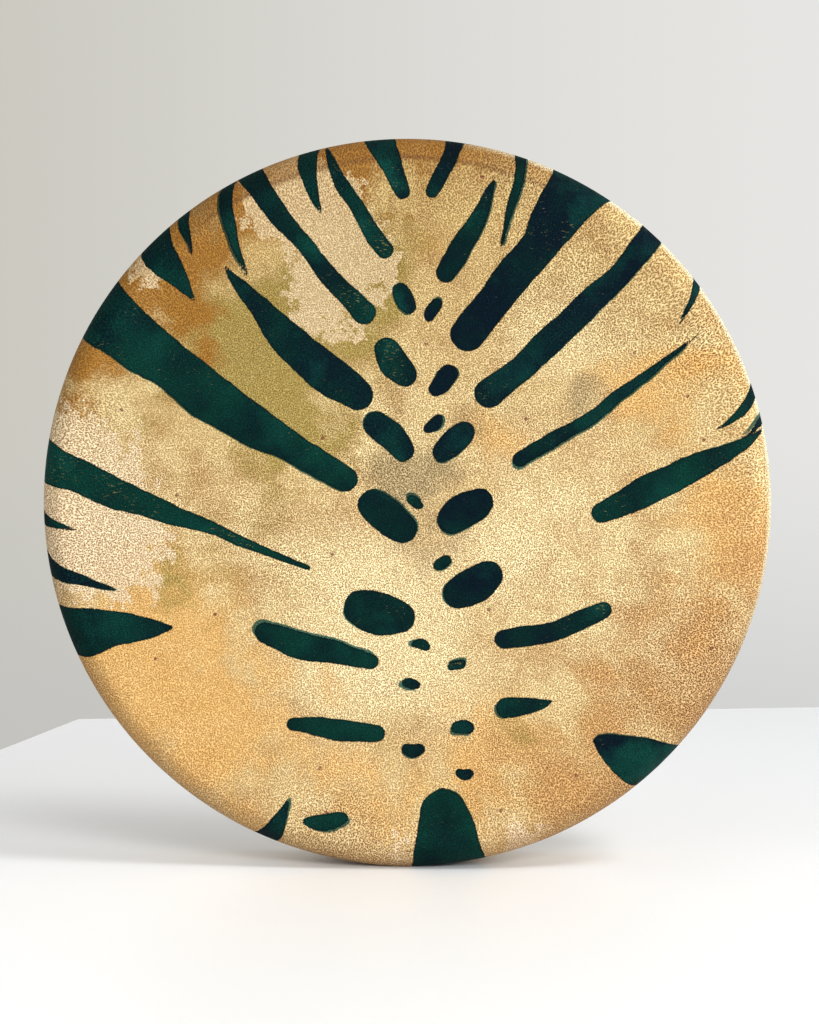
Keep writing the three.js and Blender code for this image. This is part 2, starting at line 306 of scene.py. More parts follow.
# Short strokes that come in from the rim between the slits: place in degrees, length and half-width.
RIM_STROKES = (
    (132, 0.20, 0.044), (126, 0.12, 0.016), (117, 0.26, 0.018), (104, 0.17, 0.026),
    (72, 0.26, 0.014), (66, 0.12, 0.010), (38, 0.12, 0.012), (21, 0.16, 0.016), (15, 0.07, 0.010),
    (316, 0.20, 0.070), (246, 0.13, 0.030), (199, 0.30, 0.060), (186, 0.22, 0.022), (179, 0.12, 0.016),
    (171, 0.07, 0.012),
)
PAINT_REACH = 1.09  # the strokes run over the edge and a little way down the side
PAINT_END = 1.095  # and no paint lies further out than about this


def mark(start, end, widths, bow, tone, wear):
    return {"start": start, "end": end, "widths": widths, "bow": bow, "tone": tone, "wear": wear}


def midrib(z):
    """Where the midrib stands at a height: it leans left as it rises from the stalk."""
    return 0.035 + 0.085 * (0.5 - 0.5 * z) ** 2


def rim_distance(root, out):
    """How far a ray runs from root before it has passed the rim."""
    ahead = root @ out
    return -ahead + math.sqrt(ahead**2 - root @ root + PAINT_REACH**2)


def leaf_side(rows, side, seed):
    """The holes and slits on one side of the midrib. side is -1 on the left and 1 on the right."""
    rng = np.random.default_rng(seed)
    marks = []
    for number, (height, length, start, stop, widths, tone) in enumerate(rows):
        slope = math.radians(37 + 49 * height + rng.uniform(-2, 2))
        out = np.array([side * math.cos(slope), math.sin(slope)])
        root = np.array([midrib(height), height])
        wear = rng.uniform(0.2, 0.9)
        if length:
            width = length * rng.uniform(0.44, 0.54)
            turn = slope + rng.uniform(-0.22, 0.10)
            along = np.array([side * math.cos(turn), math.sin(turn)])
            low = root + out * 0.035 - (0, 0.030)
            near, far = low + along * 0.5 * width, low + along * (length - 0.5 * width)
            marks.append(mark(near, far, (0.40 * width, 0.5 * width, 0.43 * width), 0, tone * 0.6, wear))
        if stop:
            reach = rim_distance(root, out)
            near, far = root + out * start, root + out * reach * stop
            bow = -side * rng.uniform(0.0, 0.05) * (stop * reach - start)
            marks.append(mark(near, far, widths, bow, tone, wear))
        if -0.55 < height < 0.25 and number % 2 == (side > 0):
            size = rng.uniform(0.026, 0.046)
            middle = root + out * rng.uniform(0.022, 0.045) + (0, rng.uniform(0.068, 0.080))
            near, far = middle - out * size * 0.45, middle + out * size * 0.45
            marks.append(mark(near, far, (0.30 * size, 0.44 * size, 0.30 * size), 0, tone, 0.6))
    return marks


def rim_strokes(seed):
    rng = np.random.default_rng(seed)
    marks = []
    for degrees, length, width in RIM_STROKES:
        angle = math.radians(degrees)
        outer = PAINT_REACH * np.array([math.cos(angle), math.sin(angle)])
        lean = angle + math.radians(21) * math.cos(angle) + rng.uniform(-0.12, 0.12)
        inner = outer - (length + PAINT_REACH - 1) * np.array([math.cos(lean), math.sin(lean)])
        bow, tone, wear = rng.uniform(-0.02, 0.02), rng.uniform(0.1, 0.8), rng.uniform(0.1, 0.9)
        marks.append(mark(inner, outer, (0.12 * width, width, 1.1 * width), bow, tone, wear))
    return marks


def stalk():
    tip, neck, end = [(midrib(z), z) for z in (-0.78, -0.84, -1.10)]
    body = mark(neck, end, (0.060, 0.094, 0.112), 0, 0.60, 0.2)
    return [body, mark(tip, neck, (0.010, 0.026, 0.050), 0, 0.55, 0.2)]


def mark_line(shape, phase, steps=28):
    """Points and half-widths along a mark's bent middle line, with the brush's unevenness."""
    t = np.linspace(0, 1, steps)
    start, end = np.array(shape["start"]), np.array(shape["end"])
    along = end - start
    length = max(np.hypot(*along), 1e-6)
    side = np.array([-along[1], along[0]]) / length
    first, middle, last = shape["widths"]
    lift = 4 * middle - 2 * first - 2 * last
    widths = first * (1 - t) + last * t + lift * t * (1 - t)
    uneven = np.sin(length * t * 14 + phase) + 0.5 * np.sin(length * t * 33 + 2 * phase)
    arch = 4 * t * (1 - t) * shape["bow"] + 0.004 * uneven * np.sin(math.pi * t)
    return start + t[:, None] * along + arch[:, None] * side, widths * (1 + 0.07 * uneven)


def depth_inside(places, centres, widths):
    """How deep each place lies inside a chain of tapered segments; below zero outside."""
    depth = np.full(len(places), -1.0)
    for a, b, width_a, width_b in zip(centres, centres[1:], widths, widths[1:]):
        along = b - a
        share = np.clip((places - a) @ along / max(along @ along, 1e-12), 0, 1)
        gap = np.linalg.norm(places - a - share[:, None] * along, axis=1)
        depth = np.maximum(depth, width_a + (width_b - width_a) * share - gap)
    return depth


def paint_fields(places):
    """For points in units of the radius: the depth inside the nearest mark, its tone and its wear.

    The last field is the depth inside the thin first wash, whose strokes don't quite lie under the marks.
    """
    rng = np.random.default_rng(17)
    wash = np.full(len(places), -1.0)
    depth = np.full(len(places), -1.0)
    tone = np.full(len(places), 0.5)
    wear = np.full(len(places), 0.3)
    leaf = leaf_side(LEFT_ROWS, -1, seed=3) + leaf_side(RIGHT_ROWS, 1, seed=4) + rim_strokes(5) + stalk()
    for number, shape in enumerate(leaf):
        centres, widths = mark_line(shape, phase=number)
        reach = widths.max() + 0.05
        low, high = centres.min(0) - reach, centres.max(0) + reach
        near = np.flatnonzero(((places > low) & (places < high)).all(1))
        inside = depth_inside(places[near], centres, widths)
        better = inside > depth[near]
        chosen = near[better]
        depth[chosen] = inside[better]
        tone[chosen] = shape["tone"]
        wear[chosen] = shape["wear"]
        slip = rng.uniform(-0.010, 0.010, 2)
        first_wash = depth_inside(places[near] - slip, centres, widths * rng.uniform(0.82, 0.98))
        wash[near] = np.maximum(wash[near], first_wash)
    return depth * RADIUS / MM, tone, wear, wash * RADIUS / MM


# Soft stains under the paint: (x, z, size, strength) in units of the radius.
STAINS = {
    "pale": [(0.05, -0.45, 0.36, 1.0), (0.36, 0.00, 0.32, 1.0), (-0.12, -0.22, 0.24, 0.9),
             (0.46, 0.50, 0.28, 0.8), (-0.28, -0.52, 0.26, 0.7), (0.05, 0.44, 0.20, 0.5)],
    "ochre": [(-0.68, -0.34, 0.30, 1.0), (-0.46, -0.66, 0.36, 1.0), (-0.85, -0.52, 0.30, 1.0),
              (0.92, -0.10, 0.28, 1.0), (0.22, -0.84, 0.42, 0.8), (0.62, -0.62, 0.36, 0.7),
              (0.70, 0.30, 0.26, 0.8), (0.24, 0.20, 0.16, 0.7), (0.14, 0.68, 0.22, 0.6)],
    "olive": [(-0.48, 0.44, 0.34, 1.1), (-0.20, 0.60, 0.24, 0.9), (-0.30, 0.24, 0.26, 0.5),
              (0.02, 0.74, 0.20, 0.3), (-0.56, -0.22, 0.22, 0.4), (0.34, -0.58, 0.14, 0.4)],
    "brown": [(-0.72, 0.62, 0.26, 1.2), (-0.46, 0.84, 0.24, 1.1), (-0.14, 0.98, 0.22, 1.1),
              (0.12, 0.97, 0.18, 0.6), (-0.88, 0.42, 0.18, 0.9), (-0.60, 0.34, 0.12, 0.4)],
    "cream": [(-0.36, 0.87, 0.17, 1.1), (-0.18, 0.71, 0.19, 1.0), (-0.22, 0.53, 0.15, 0.8),
              (-0.92, 0.06, 0.26, 1.1), (-0.84, -0.14, 0.20, 0.9), (-0.70, 0.66, 0.10, 0.8),
              (0.32, -0.92, 0.11, 1.0), (0.02, -0.95, 0.13, 0.6)],
    "rust": [(0.78, -0.52, 0.36, 1.0), (0.48, -0.80, 0.30, 0.9), (0.97, -0.12, 0.22, 0.6),
             (-0.22, -0.98, 0.20, 0.7), (0.06, 0.86, 0.14, 0.5)],
    "grey": [(0.05, 0.08, 0.18, 1.0), (0.06, -0.12, 0.13, 0.6), (0.48, 0.28, 0.09, 0.8),
             (-0.52, 0.80, 0.10, 0.7), (0.28, 0.95, 0.15, 0.6), (0.12, 0.30, 0.14, 0.4)],
}


def stain_fields(places):
    fields = {}
    for name, spots in STAINS.items():
        total = np.zeros(len(places))
        for x, z, size, strength in spots:
            gap = np.hypot(places[:, 0] - x, places[:, 1] - z) / size
            total += strength * np.exp(-1.4 * gap**2)
        fields[name] = total
    return fields


# ---- The hide ----

def disc_grid(cells):
    """A square grid bent to a disc: radii from 0 to 1, angles, quads, and its rim in order of angle."""
    line = np.linspace(-1, 1, cells + 1)
    u, v = np.meshgrid(line, line, indexing="ij")
    radius = np.maximum(np.abs(u), np.abs(v))
    wide = np.abs(u) >= np.abs(v)
    safe_u = np.where(np.abs(u) > 0, u, 1)
    safe_v = np.where(np.abs(v) > 0, v, 1)
    across = np.where(u > 0, 0, math.pi) + math.pi / 4 * v / safe_u
    up = np.where(v > 0, math.pi / 2, 1.5 * math.pi) - math.pi / 4 * u / safe_v
    angle = np.where(wide, across, up)
    index = np.arange((cells + 1) ** 2).reshape(cells + 1, cells + 1)
    corners = (index[:-1, :-1], index[1:, :-1], index[1:, 1:], index[:-1, 1:])
    quads = np.stack([c.ravel() for c in corners], 1)
    rim = [index[-1, :-1], index[:0:-1, -1], index[0, :0:-1], index[:-1, 0]]
    return radius.ravel(), angle.ravel(), quads, np.concatenate(rim)


def shoulder_curve(steps):
    """The bearing edge as (inset from the side, drop from the face), from the face to the side."""
    t = np.linspace(0, math.pi / 2, steps + 1)
    power = 2 / SHOULDER["power"]
    inset = SHOULDER["radial"] * (1 - np.sin(t) ** power)
    drop = SHOULDER["axial"] * (1 - np.cos(t) ** power)
    return list(zip(inset, drop))


def lip_edge(angle):
    """Radius of the lip's scalloped edge: nearest the middle at each hole."""
    offset = (angle % HOLE_STEP) - HOLE_STEP / 2  # holes lie at the odd half steps
    offset = HOLE_STEP / 2 - np.abs(offset)  # from the middle between two holes
    sideways = SCALLOP["centre"] * np.sin(offset)
    curve = SCALLOP["centre"] * np.cos(offset) + np.sqrt(SCALLOP["radius"] ** 2 - sideways**2)
    return np.maximum(curve, LIP_EDGE + 0.4 * MM)


def lip_y(radius):
    """The lip's surface on the side of the head."""
    return HOOP_BACK + SKIN_GAP - (LIP_TOP - radius) * math.tan(LIP_SLOPE)


def pleats(angle, radius):
    """How far the folded hide stands proud, in metres: it puckers between the holes."""
    between = 0.5 + 0.5 * np.cos(HOLE_COUNT * angle)
    fine = wobble(angle, seed=21, terms=9, base=11.3)
    inwards = smoothstep(RADIUS - 3 * MM, LIP_TOP - 8 * MM, radius)
    return (0.55 * between * inwards + 0.22 * fine * (0.4 + inwards)) * MM


class Hide:
    """Collects the rings of points that the hide is made of, with their unrolled places."""

    def __init__(self):
        self.points, self.flat, self.side, self.faces = [], [], [], []
        self.moved = {}  # points round the holes, with their new radius and angle
        self.count = 0

    def add(self, points, flat, side):
        start = self.count
        self.points.append(points)
        self.flat.append(flat)
        self.side.append(np.full(len(points), float(side)))
        self.count += len(points)
        return np.arange(start, self.count)

    def ring(self, radius, angle, y, unrolled, side):
        flat = np.stack([unrolled * np.cos(angle), unrolled * np.sin(angle)], -1)
        return self.add(place(radius, angle, y), flat, side)

    def join(self, inner, outer, skip=()):
        for k in range(len(inner)):
            if k in skip:
                continue
            following = (k + 1) % len(inner)
            self.faces.append((inner[k], outer[k], outer[following], inner[following]))

    def join_half(self, full, half):
        """Joins a ring to one with half as many points."""
        for k in range(len(half)):
            a, b = full[2 * k], full[2 * k + 1]
            c = full[(2 * k + 2) % len(full)]
            d, e = half[k], half[(k + 1) % len(half)]
            self.faces += [(a, d, b), (b, d, e), (b, e, c)]


def lip_ring_radii(angle, inner_side):
    """Radii of the lip's rings, a grid that is even round each hole and follows the scallops."""
    cell = 2 * math.pi * HOLE_CIRCLE / len(angle)
    edge = lip_edge(angle)
    near_hole = [HOLE_CIRCLE + step * cell for step in (2, 1, 0, -1, -2)]
    outer = [LIP_TOP, LIP_TOP - 2.5 * MM, LIP_TOP - 5 * MM, LIP_TOP - 7 * MM]
    if inner_side:
        outer = [LIP_TOP, LIP_TOP - 4.5 * MM]
    radii = [np.full(len(angle), r) for r in outer + near_hole]
    slide = [np.minimum(1, np.maximum(0, (r - LIP_EDGE) / (LIP_TOP - LIP_EDGE))) for r in radii]
    moved = [edge + s * (LIP_TOP - edge) for s in slide]
    phase = np.abs((angle % HOLE_STEP) - HOLE_STEP / 2)
    keep = 1 - smoothstep(math.radians(1.8), math.radians(3.6), phase)
    rings = [keep * r + (1 - keep) * m for r, m in zip(radii, moved)]
    rings.append(0.5 * (rings[-1] + edge))
    rings.append(edge + 0.25 * MM)
    return rings, len(outer)


def open_hole(hide, rings, first, angle):
    """Moves the points round each hole's square block onto its circle. Returns what to leave out."""
    total = len(angle)
    left_out, rims = set(), []
    for number in range(HOLE_COUNT):
        middle_angle = (number + 0.5) * HOLE_STEP
        centre = int(np.argmin(np.abs((angle - middle_angle + math.pi) % (2 * math.pi) - math.pi)))
        rim = []
        for i, j in block_rim():
            ring, k = rings[first + 2 + i], (centre + j) % total
            turn = math.atan2(-i, j)
            across, along = HOLE_RADIUS * math.cos(turn), HOLE_RADIUS * math.sin(turn)
            radius = HOLE_CIRCLE + along * math.cos(LIP_SLOPE)
            where = middle_angle + across / HOLE_CIRCLE
            hide.moved[ring[k]] = (radius, where)
            rim.append(ring[k])
        for i in (-2, -1, 0, 1):
            for j in (-2, -1, 0, 1):
                left_out.add((first + 2 + i, (centre + j) % total))
        rims.append(rim)
    return left_out, rims


def block_rim():
    """Steps round the edge of a 4 by 4 block of cells: i inwards, j round the drum."""
    top = [(-2, j) for j in range(-2, 2)]
    right = [(i, 2) for i in range(-2, 2)]
    foot = [(2, j) for j in range(2, -2, -1)]
    left = [(i, -2) for i in range(2, -2, -1)]
    return top + right + foot + left


def hide_side_radius(angle):
    """The rim isn't a perfect circle. It never leaves the model's box."""
    return RADIUS - (0.30 + 0.28 * wobble(angle, seed=4, terms=4)) * MM * (1 - 0.9 * foot(angle))


def foot(angle):
    """1 at the lowest point of the rim, falling to 0 ten degrees to each side."""
    away = np.abs((angle + math.pi / 2 + math.pi) % (2 * math.pi) - math.pi)
    return 1 - smoothstep(math.radians(3), math.radians(12), away)


class Wrap:
    """Goes down the outside of the hide from the rim of the face, ring by ring, and measures the way."""

    def __init__(self, hide, rim, angle, radius):
        self.hide, self.angle, self.last = hide, angle, rim
        self.unrolled = radius.copy()
        self.before = (radius, np.full(len(rim), FACE_Y))

    def add(self, radius, y):
        self.unrolled = self.unrolled + np.hypot(radius - self.before[0], y - self.before[1])
        self.before = (radius, y)
        return self.hide.ring(radius, self.angle, y, self.unrolled, 1)

    def next_ring(self, radius, y):
        ring = self.add(radius, y + np.zeros(len(self.angle)))
        self.hide.join(self.last, ring)
        self.last = ring


def add_face(hide):
    """The playing face, which sinks 0.1 mm in the middle. Returns its rim, with angles and radii."""
    share, angle, quads, rim = disc_grid(FACE_CELLS)
    crease = 0.6 * MM * wobble(angle, seed=8, terms=7, base=1.6)
    radius = share * (FLAT_RADIUS + crease * share**8)
    settle = 0.10 * MM * (1 - share**2)
    flat = np.stack([radius * np.cos(angle), radius * np.sin(angle)], -1)
    face = hide.add(place(radius, angle, FACE_Y + settle), flat, 1)
    hide.faces += quads.tolist()
    return face[rim], angle[rim], radius[rim]


def add_side(wrap, side_radius):
    """Over the bearing edge, down the side and round the fold, to the flat ring at the back."""
    angle, edge_radius = wrap.angle, wrap.before[0]
    for inset, drop in shoulder_curve(12)[1:]:
        share = inset / SHOULDER["radial"]
        wrap.next_ring(side_radius - share * (side_radius - edge_radius), FACE_Y + drop)
    tension = wobble(angle, seed=13, terms=9, base=9.7)
    start, end = FACE_Y + SHOULDER["axial"], BACK_Y - FOLD
    rings = 7
    for step in range(1, rings + 1):
        down = step / rings
        hollow = 0.18 * MM * math.sin(math.pi * down) * (1 + tension) * (1 - foot(angle))
        wrap.next_ring(side_radius - hollow, start + down * (end - start))
    for turn in (22, 45, 68, 90):
        a = math.radians(turn)
        wrap.next_ring(side_radius - FOLD * (1 - math.cos(a)), end + FOLD * math.sin(a))
    radius = np.full(len(angle), (RADIUS - FOLD + LIP_TOP) / 2)
    back = HOOP_BACK + SKIN_GAP + SKIN
    wrap.next_ring(radius, back - 0.25 * MM + np.minimum(pleats(angle, radius), 0.2 * MM))


def join_lip(hide, rings, gaps, inwards):
    """Joins the lip's rings but for the holes. The side of the head has its rings the other way up."""
    for i, (ring, following) in enumerate(zip(rings, rings[1:])):
        skip = {k for row, k in gaps if row == i}
        if inwards:
            hide.join(ring, following, skip)
        else:
            hide.join(following, ring, skip)


def add_lip(wrap):
    """The lip that leans in from the hoop's back: its outside, its cut edge, its other side and its holes.

    Returns the ring where its inner side begins.
    """
    hide, angle = wrap.hide, wrap.angle
    radii, first = lip_ring_radii(angle, inner_side=False)
    skin = SKIN / math.cos(LIP_SLOPE)
    rings = [wrap.add(r, lip_y(r) + skin + pleats(angle, r) - 0.15 * MM) for r in radii]
    hide.join(wrap.last, rings[0])
    gaps, outer_rims = open_hole(hide, rings, first, angle)
    join_lip(hide, rings, gaps, inwards=True)

    edge = lip_edge(angle)
    cut = hide.ring(edge, angle, lip_y(edge) + SKIN / 2 + pleats(angle, edge), wrap.unrolled, 0)
    hide.join(rings[-1], cut)

    radii, first = lip_ring_radii(angle, inner_side=True)
    rings = []
    for radius in radii:
        free = smoothstep(LIP_TOP, LIP_TOP - 4 * MM, radius)  # no pleats where it lies on the wood
        y = lip_y(radius) + pleats(angle, radius) * free
        rings.append(hide.ring(radius, angle, y, radius, -1))
    gaps, inner_rims = open_hole(hide, rings, first, angle)
    hide.join(cut, rings[-1])
    join_lip(hide, rings, gaps, inwards=False)
    for outer_rim, inner_rim in zip(outer_rims, inner_rims):
        hide.join(outer_rim, inner_rim)
    return rings[0]


def add_lining(hide, start, angle, side_radius, edge_radius):
    """The hide's inside, from the fold to the middle of the face, with half as many points."""
    level = np.zeros(len(angle))
    inner_radius = side_radius - SKIN
    wood_fold = FOLD - SKIN
    path = [
        (inner_radius - wood_fold, BACK_Y - SKIN + level),
        (inner_radius, BACK_Y - SKIN - wood_fold + level),
        (inner_radius, FACE_Y + SHOULDER["axial"] + level),
    ]
    for inset, drop in reversed(shoulder_curve(6)[1:-1]):
        share = inset / SHOULDER["radial"]
        radius = inner_radius - share * (inner_radius - edge_radius)
        path.append((radius, FACE_Y + SKIN + drop * 0.96 + level))
    rings = [hide.ring(radius, angle, y, radius, -1) for radius, y in path]
    hide.join_half(start, rings[0])
    for ring, following in zip(rings, rings[1:]):
        hide.join(ring, following)

    share, angle, quads, rim = disc_grid(INSIDE_CELLS)
    radius = share * (FLAT_RADIUS - 0.2 * MM)
    flat = np.stack([radius * np.cos(angle), radius * np.sin(angle)], -1)
    settle = 0.10 * MM * (1 - share**2)
    inside = hide.add(place(radius, angle, FACE_Y + SKIN + settle), flat, -1)
    hide.faces += inside[quads][:, ::-1].tolist()
    hide.join(rings[-1], inside[rim])


def grain_places(flat, unrolled):
    """Where each point takes its grain from: near the rim the grain is drawn out towards it."""
    stretch = 0.28 + 0.28 * smoothstep(-0.6, 0.5, flat[:, 1] / RADIUS)
    near_rim = np.clip(unrolled - 0.70, 0, 0.30)
    radius = np.minimum(unrolled, 1) - stretch * near_rim**2 / 0.60
    radius = radius * np.exp(np.maximum(unrolled - 1, 0))
    return flat * (radius / np.maximum(unrolled, 1e-6))[:, None]


def hide_attributes(hide):
    """What the material reads at each point: its unrolled place, the paint's depth and the stains."""
    flat, side = np.concatenate(hide.flat), np.concatenate(hide.side)
    unrolled = np.hypot(flat[:, 0], flat[:, 1]) / RADIUS
    depth, tone, wear, wash = paint_fields(flat / RADIUS)
    uneven = 0.022 * wobble(np.arctan2(flat[:, 1], flat[:, 0]), seed=31, terms=9, base=6.3)
    to_paint_end = (PAINT_END + uneven - unrolled) * RADIUS / MM
    stains = stain_fields(flat / RADIUS)
    return {
        "flat": np.column_stack([flat, side * 0.05]),
        "grain": np.column_stack([grain_places(flat, unrolled), side * 0.05]),
        "ink": np.minimum(depth, to_paint_end),
        "wash": np.minimum(wash, to_paint_end),
        "rust": stains["rust"],
        "tone_wear": np.column_stack([tone, wear, unrolled]),
        "light_stains": np.column_stack([stains[name] for name in ("pale", "ochre", "cream")]),
        "dark_stains": np.column_stack([stains[name] for name in ("olive", "brown", "grey")]),
        "outside": side,
    }


def make_hide():
    hide = Hide()
    rim, angle, edge_radius = add_face(hide)
    side_radius = hide_side_radius(angle)
    wrap = Wrap(hide, rim, angle, edge_radius)
    add_side(wrap, side_radius)
    lip = add_lip(wrap)
    add_lining(hide, lip, angle[::2], side_radius[::2], edge_radius[::2])
    points = np.concatenate(hide.points)
    for vertex, (radius, where) in hide.moved.items():
        points[vertex, 0] = radius * math.cos(where)
        points[vertex, 2] = AXIS.z + radius * math.sin(where)
    piece = new_mesh("rawhide_head", points, hide.faces, hide_attributes(hide))
    return finish_piece(piece, hide_material(), "rawhide", "head")


def hide_ground(n, flat, rust, down):
    """Golden hide with watery stains and painted shade towards the top. Returns its colour and two of its
    noises.
    """
    pale, ochre, cream = n.split(n.attribute("light_stains", "Vector"))
    olive, brown, grey = n.split(n.attribute("dark_stains", "Vector"))
    cloud = n.noise_flat(flat, 9, detail=5)
    broad = n.noise_flat(flat, 20, detail=7, roughness=0.62)
    fleck = n.noise_flat(flat, 105, detail=6, roughness=0.72)
    colour = n.blend(n.span(cloud, 0.35, 0.65), (0.66, 0.465, 0.195), (0.765, 0.60, 0.30))
    soft = n.times(n.centred(broad), 3.2)
    ragged = n.times_plus(n.centred(fleck), 1.7, n.times(soft, 0.45))
    uneven = n.noise_flat(flat, 42, detail=6, roughness=0.65)
    colour = n.blend(n.span(uneven, 0.42, 0.68, 0, 0.8), colour, (0.50, 0.300, 0.105))
    # each stain's field, where on it the colour begins and is full, the colour, its strength and its edge
    layers = (
        (pale, 0.35, 1.30, (0.90, 0.73, 0.40), 0.70, soft),
        (ochre, 0.30, 1.25, (0.76, 0.42, 0.11), 0.75, soft),
        (rust, 0.25, 1.10, (0.46, 0.235, 0.072), 0.62, soft),
        (olive, 0.28, 1.00, (0.39, 0.285, 0.066), 0.92, soft),
        (brown, 0.28, 0.95, (0.38, 0.165, 0.012), 0.94, soft),
        (grey, 0.30, 1.10, (0.34, 0.250, 0.110), 0.75, soft),
        (cream, 0.55, 0.61, (0.80, 0.62, 0.39), 0.80, ragged),
    )
    for field, low, high, paint, strength, edge in layers:
        value = n.times_plus(edge, n.span(field, 0.02, 0.30), field)
        amount = n.span(value, low, high, 0, strength, smooth=True)
        colour = n.blend(amount, colour, paint)
        tide = n.times(amount, n.minus(strength, amount))
        colour = n.blend(n.times(tide, 0.6), colour, (0.42, 0.23, 0.065))
    # Painted shade: the face darker towards the top, as if the light came from low in front.
    painted_top_shade = n.times(n.span(n.split(flat)[1], -0.1 * RADIUS, 0.95 * RADIUS, 0, 0.75), down)
    colour = n.blend(painted_top_shade, colour, n.tinted(colour, (0.64, 0.60, 0.42)))
    dot = n.cells_flat(flat, 13)
    colour = n.blend(n.span(dot, 0.016, 0.010, 0, 0.8), colour, (0.16, 0.022, 0.008))
    return colour, cloud, broad


def hide_rim(n, colour, flat, unrolled, broad, down):
    """The bearing edge: a hand stain and painted shade along the top, a painted highlight down the right.

    Returns the colour, and how much each place is handled and shaded.
    """
    across, up, _ = n.split(n.scaled(flat, (1 / RADIUS, 1 / RADIUS, 1)))
    reach = n.times_plus(n.centred(broad), 0.02, unrolled)
    towards = n.minus(up, n.times(across, 0.15))
    # Brown along the top of the edge: partly a stain from hands, partly painted shade where the edge faces
    # up.
    handled_and_shaded = n.times(n.span(reach, 0.930, 0.945), n.span(towards, 0.72, 0.92, 0.04, 0.9))
    handled_and_shaded = n.times(handled_and_shaded, n.times(down, n.span(broad, 0.35, 0.62, 1, 0.62)))
    colour = n.blend(handled_and_shaded, colour, (0.270, 0.115, 0.014))
    # Painted shade: darker in the crease where the flat face turns over the edge.
    away = n.math("ABSOLUTE", n.minus(reach, 0.943))
    crease = n.times(n.span(away, 0.014, 0.0), handled_and_shaded)
    colour = n.blend(n.times(crease, 0.75), colour, (0.12, 0.045, 0.007))
    # Painted shade: the edge's underside at the bottom of the drum, darker.
    lower_edge_shade = n.times(n.span(reach, 0.90, 1.01), n.span(up, 0.1, -0.5, 0, 0.6))
    colour = n.blend(n.times(lower_edge_shade, down), colour, (0.34, 0.17, 0.050))
    # Painted highlight: a pale cream band along the edge down the right, where it turns to the side.
    bare = n.times(n.span(unrolled, 0.995, 1.015), n.span(across, 0.1, 0.5, 0, 0.92))
    bare = n.times(n.times(bare, down), n.span(up, -0.45, -0.05))
    return n.blend(bare, colour, (0.90, 0.80, 0.52)), handled_and_shaded


def hide_paint(n, flat, ink, tone, wear):
    """Navy to green paint, darker at its outline, thin in places and worn off in flecks."""
    pool = n.noise_flat(flat, 34, detail=5, roughness=0.6)
    hue = n.plus(tone, n.times(n.centred(pool), 1.6))
    paint = n.blend(n.span(hue, 0.0, 0.40), (0.0006, 0.0065, 0.0140), (0.0004, 0.0150, 0.0150))
    paint = n.blend(n.span(hue, 0.40, 1.0), paint, (0.0012, 0.0400, 0.0270))
    thin = n.times(n.span(n.noise_flat(flat, 24, detail=5), 0.52, 0.68), wear)
    paint = n.blend(n.times(thin, 0.8), paint, (0.0035, 0.0780, 0.0560))
    outline = n.span(ink, 0.2, 1.2, 0.8, 0, smooth=True)
    paint = n.blend(outline, paint, (0.0004, 0.0040, 0.0048))
    turned = n.add("Mapping", {0: flat, "Rotation": (0, 0, -0.6), "Scale": (0.35, 1.3, 1)}).outputs[0]
    speck = n.noise_flat(turned, 850, detail=3, roughness=0.7)
    worn = n.times(n.span(n.noise_flat(flat, 30, detail=3), 0.48, 0.66), wear)
    bare = n.span(n.times_plus(worn, 0.20, speck), 0.750, 0.800)
    bare = n.times(bare, n.span(ink, 0.8, 2.0))
    return n.blend(n.times(bare, 0.7), paint, (0.26, 0.22, 0.075))


def hide_grain(n, grain):
    """Pores between fine ridges. Returns the height, the ridges, and how far a place is pit or crest."""
    warped = n.shifted(grain, n.noise_flat(grain, 240, detail=1, output="Color"), 0.0012)
    pore = n.cells_flat(warped, 1130)
    ridge = n.noise_flat(warped, 1680, detail=2, roughness=0.6)
    height = n.times_plus(n.centred(ridge), 1.4, pore)
    pits = n.span(height, 0.42, 0.14)
    crests = n.span(height, 0.43, 0.70)
    return height, ridge, pits, crests


def grained_ground(n, ground, flat, pits, crests, rust, handled_and_shaded):
    """The ground with its pores dark and its ridges pale, more so in some places than in others."""
    olive, brown, _ = n.split(n.attribute("dark_stains", "Vector"))
    _, ochre, _ = n.split(n.attribute("light_stains", "Vector"))
    soaked = n.plus(olive, brown)
    rubbed = n.span(ochre, 0.4, 1.2)
    dust = n.noise_flat(flat, 330, detail=5, roughness=0.7)
    dusty = n.tinted(ground, (0.78, 0.70, 0.55))
    ground = n.blend(n.span(dust, 0.42, 0.68, 0, 0.6), ground, dusty)
    patch = n.noise_flat(flat, 17, detail=4)
    strength = n.plus(n.span(patch, 0.35, 0.65, 0.70, 0.98), n.span(rust, 0.1, 0.8, 0, 0.3))
    strength = n.times(strength, n.span(soaked, 0.1, 0.9, 1, 0.66))
    strength = n.times(strength, n.span(rubbed, 0, 1, 1, 0.64))
    pit_colour = n.tinted(ground, (0.245, 0.125, 0.028))
    grained = n.blend(n.times(pits, strength), ground, pit_colour)
    lifted = n.tinted(ground, (1.44, 1.52, 1.72))
    whitened = n.times(n.span(handled_and_shaded, 0, 0.9, 0.14, 0.02), n.span(soaked, 0, 0.7, 1, 0.15))
    crest_colour = n.blend(whitened, lifted, (0.95, 0.84, 0.62))
    shown = n.times(crests, n.span(soaked, 0.1, 0.9, 1.0, 0.72))
    shown = n.times(shown, n.span(rubbed, 0, 1, 1, 0.7))
    return n.blend(shown, grained, crest_colour)


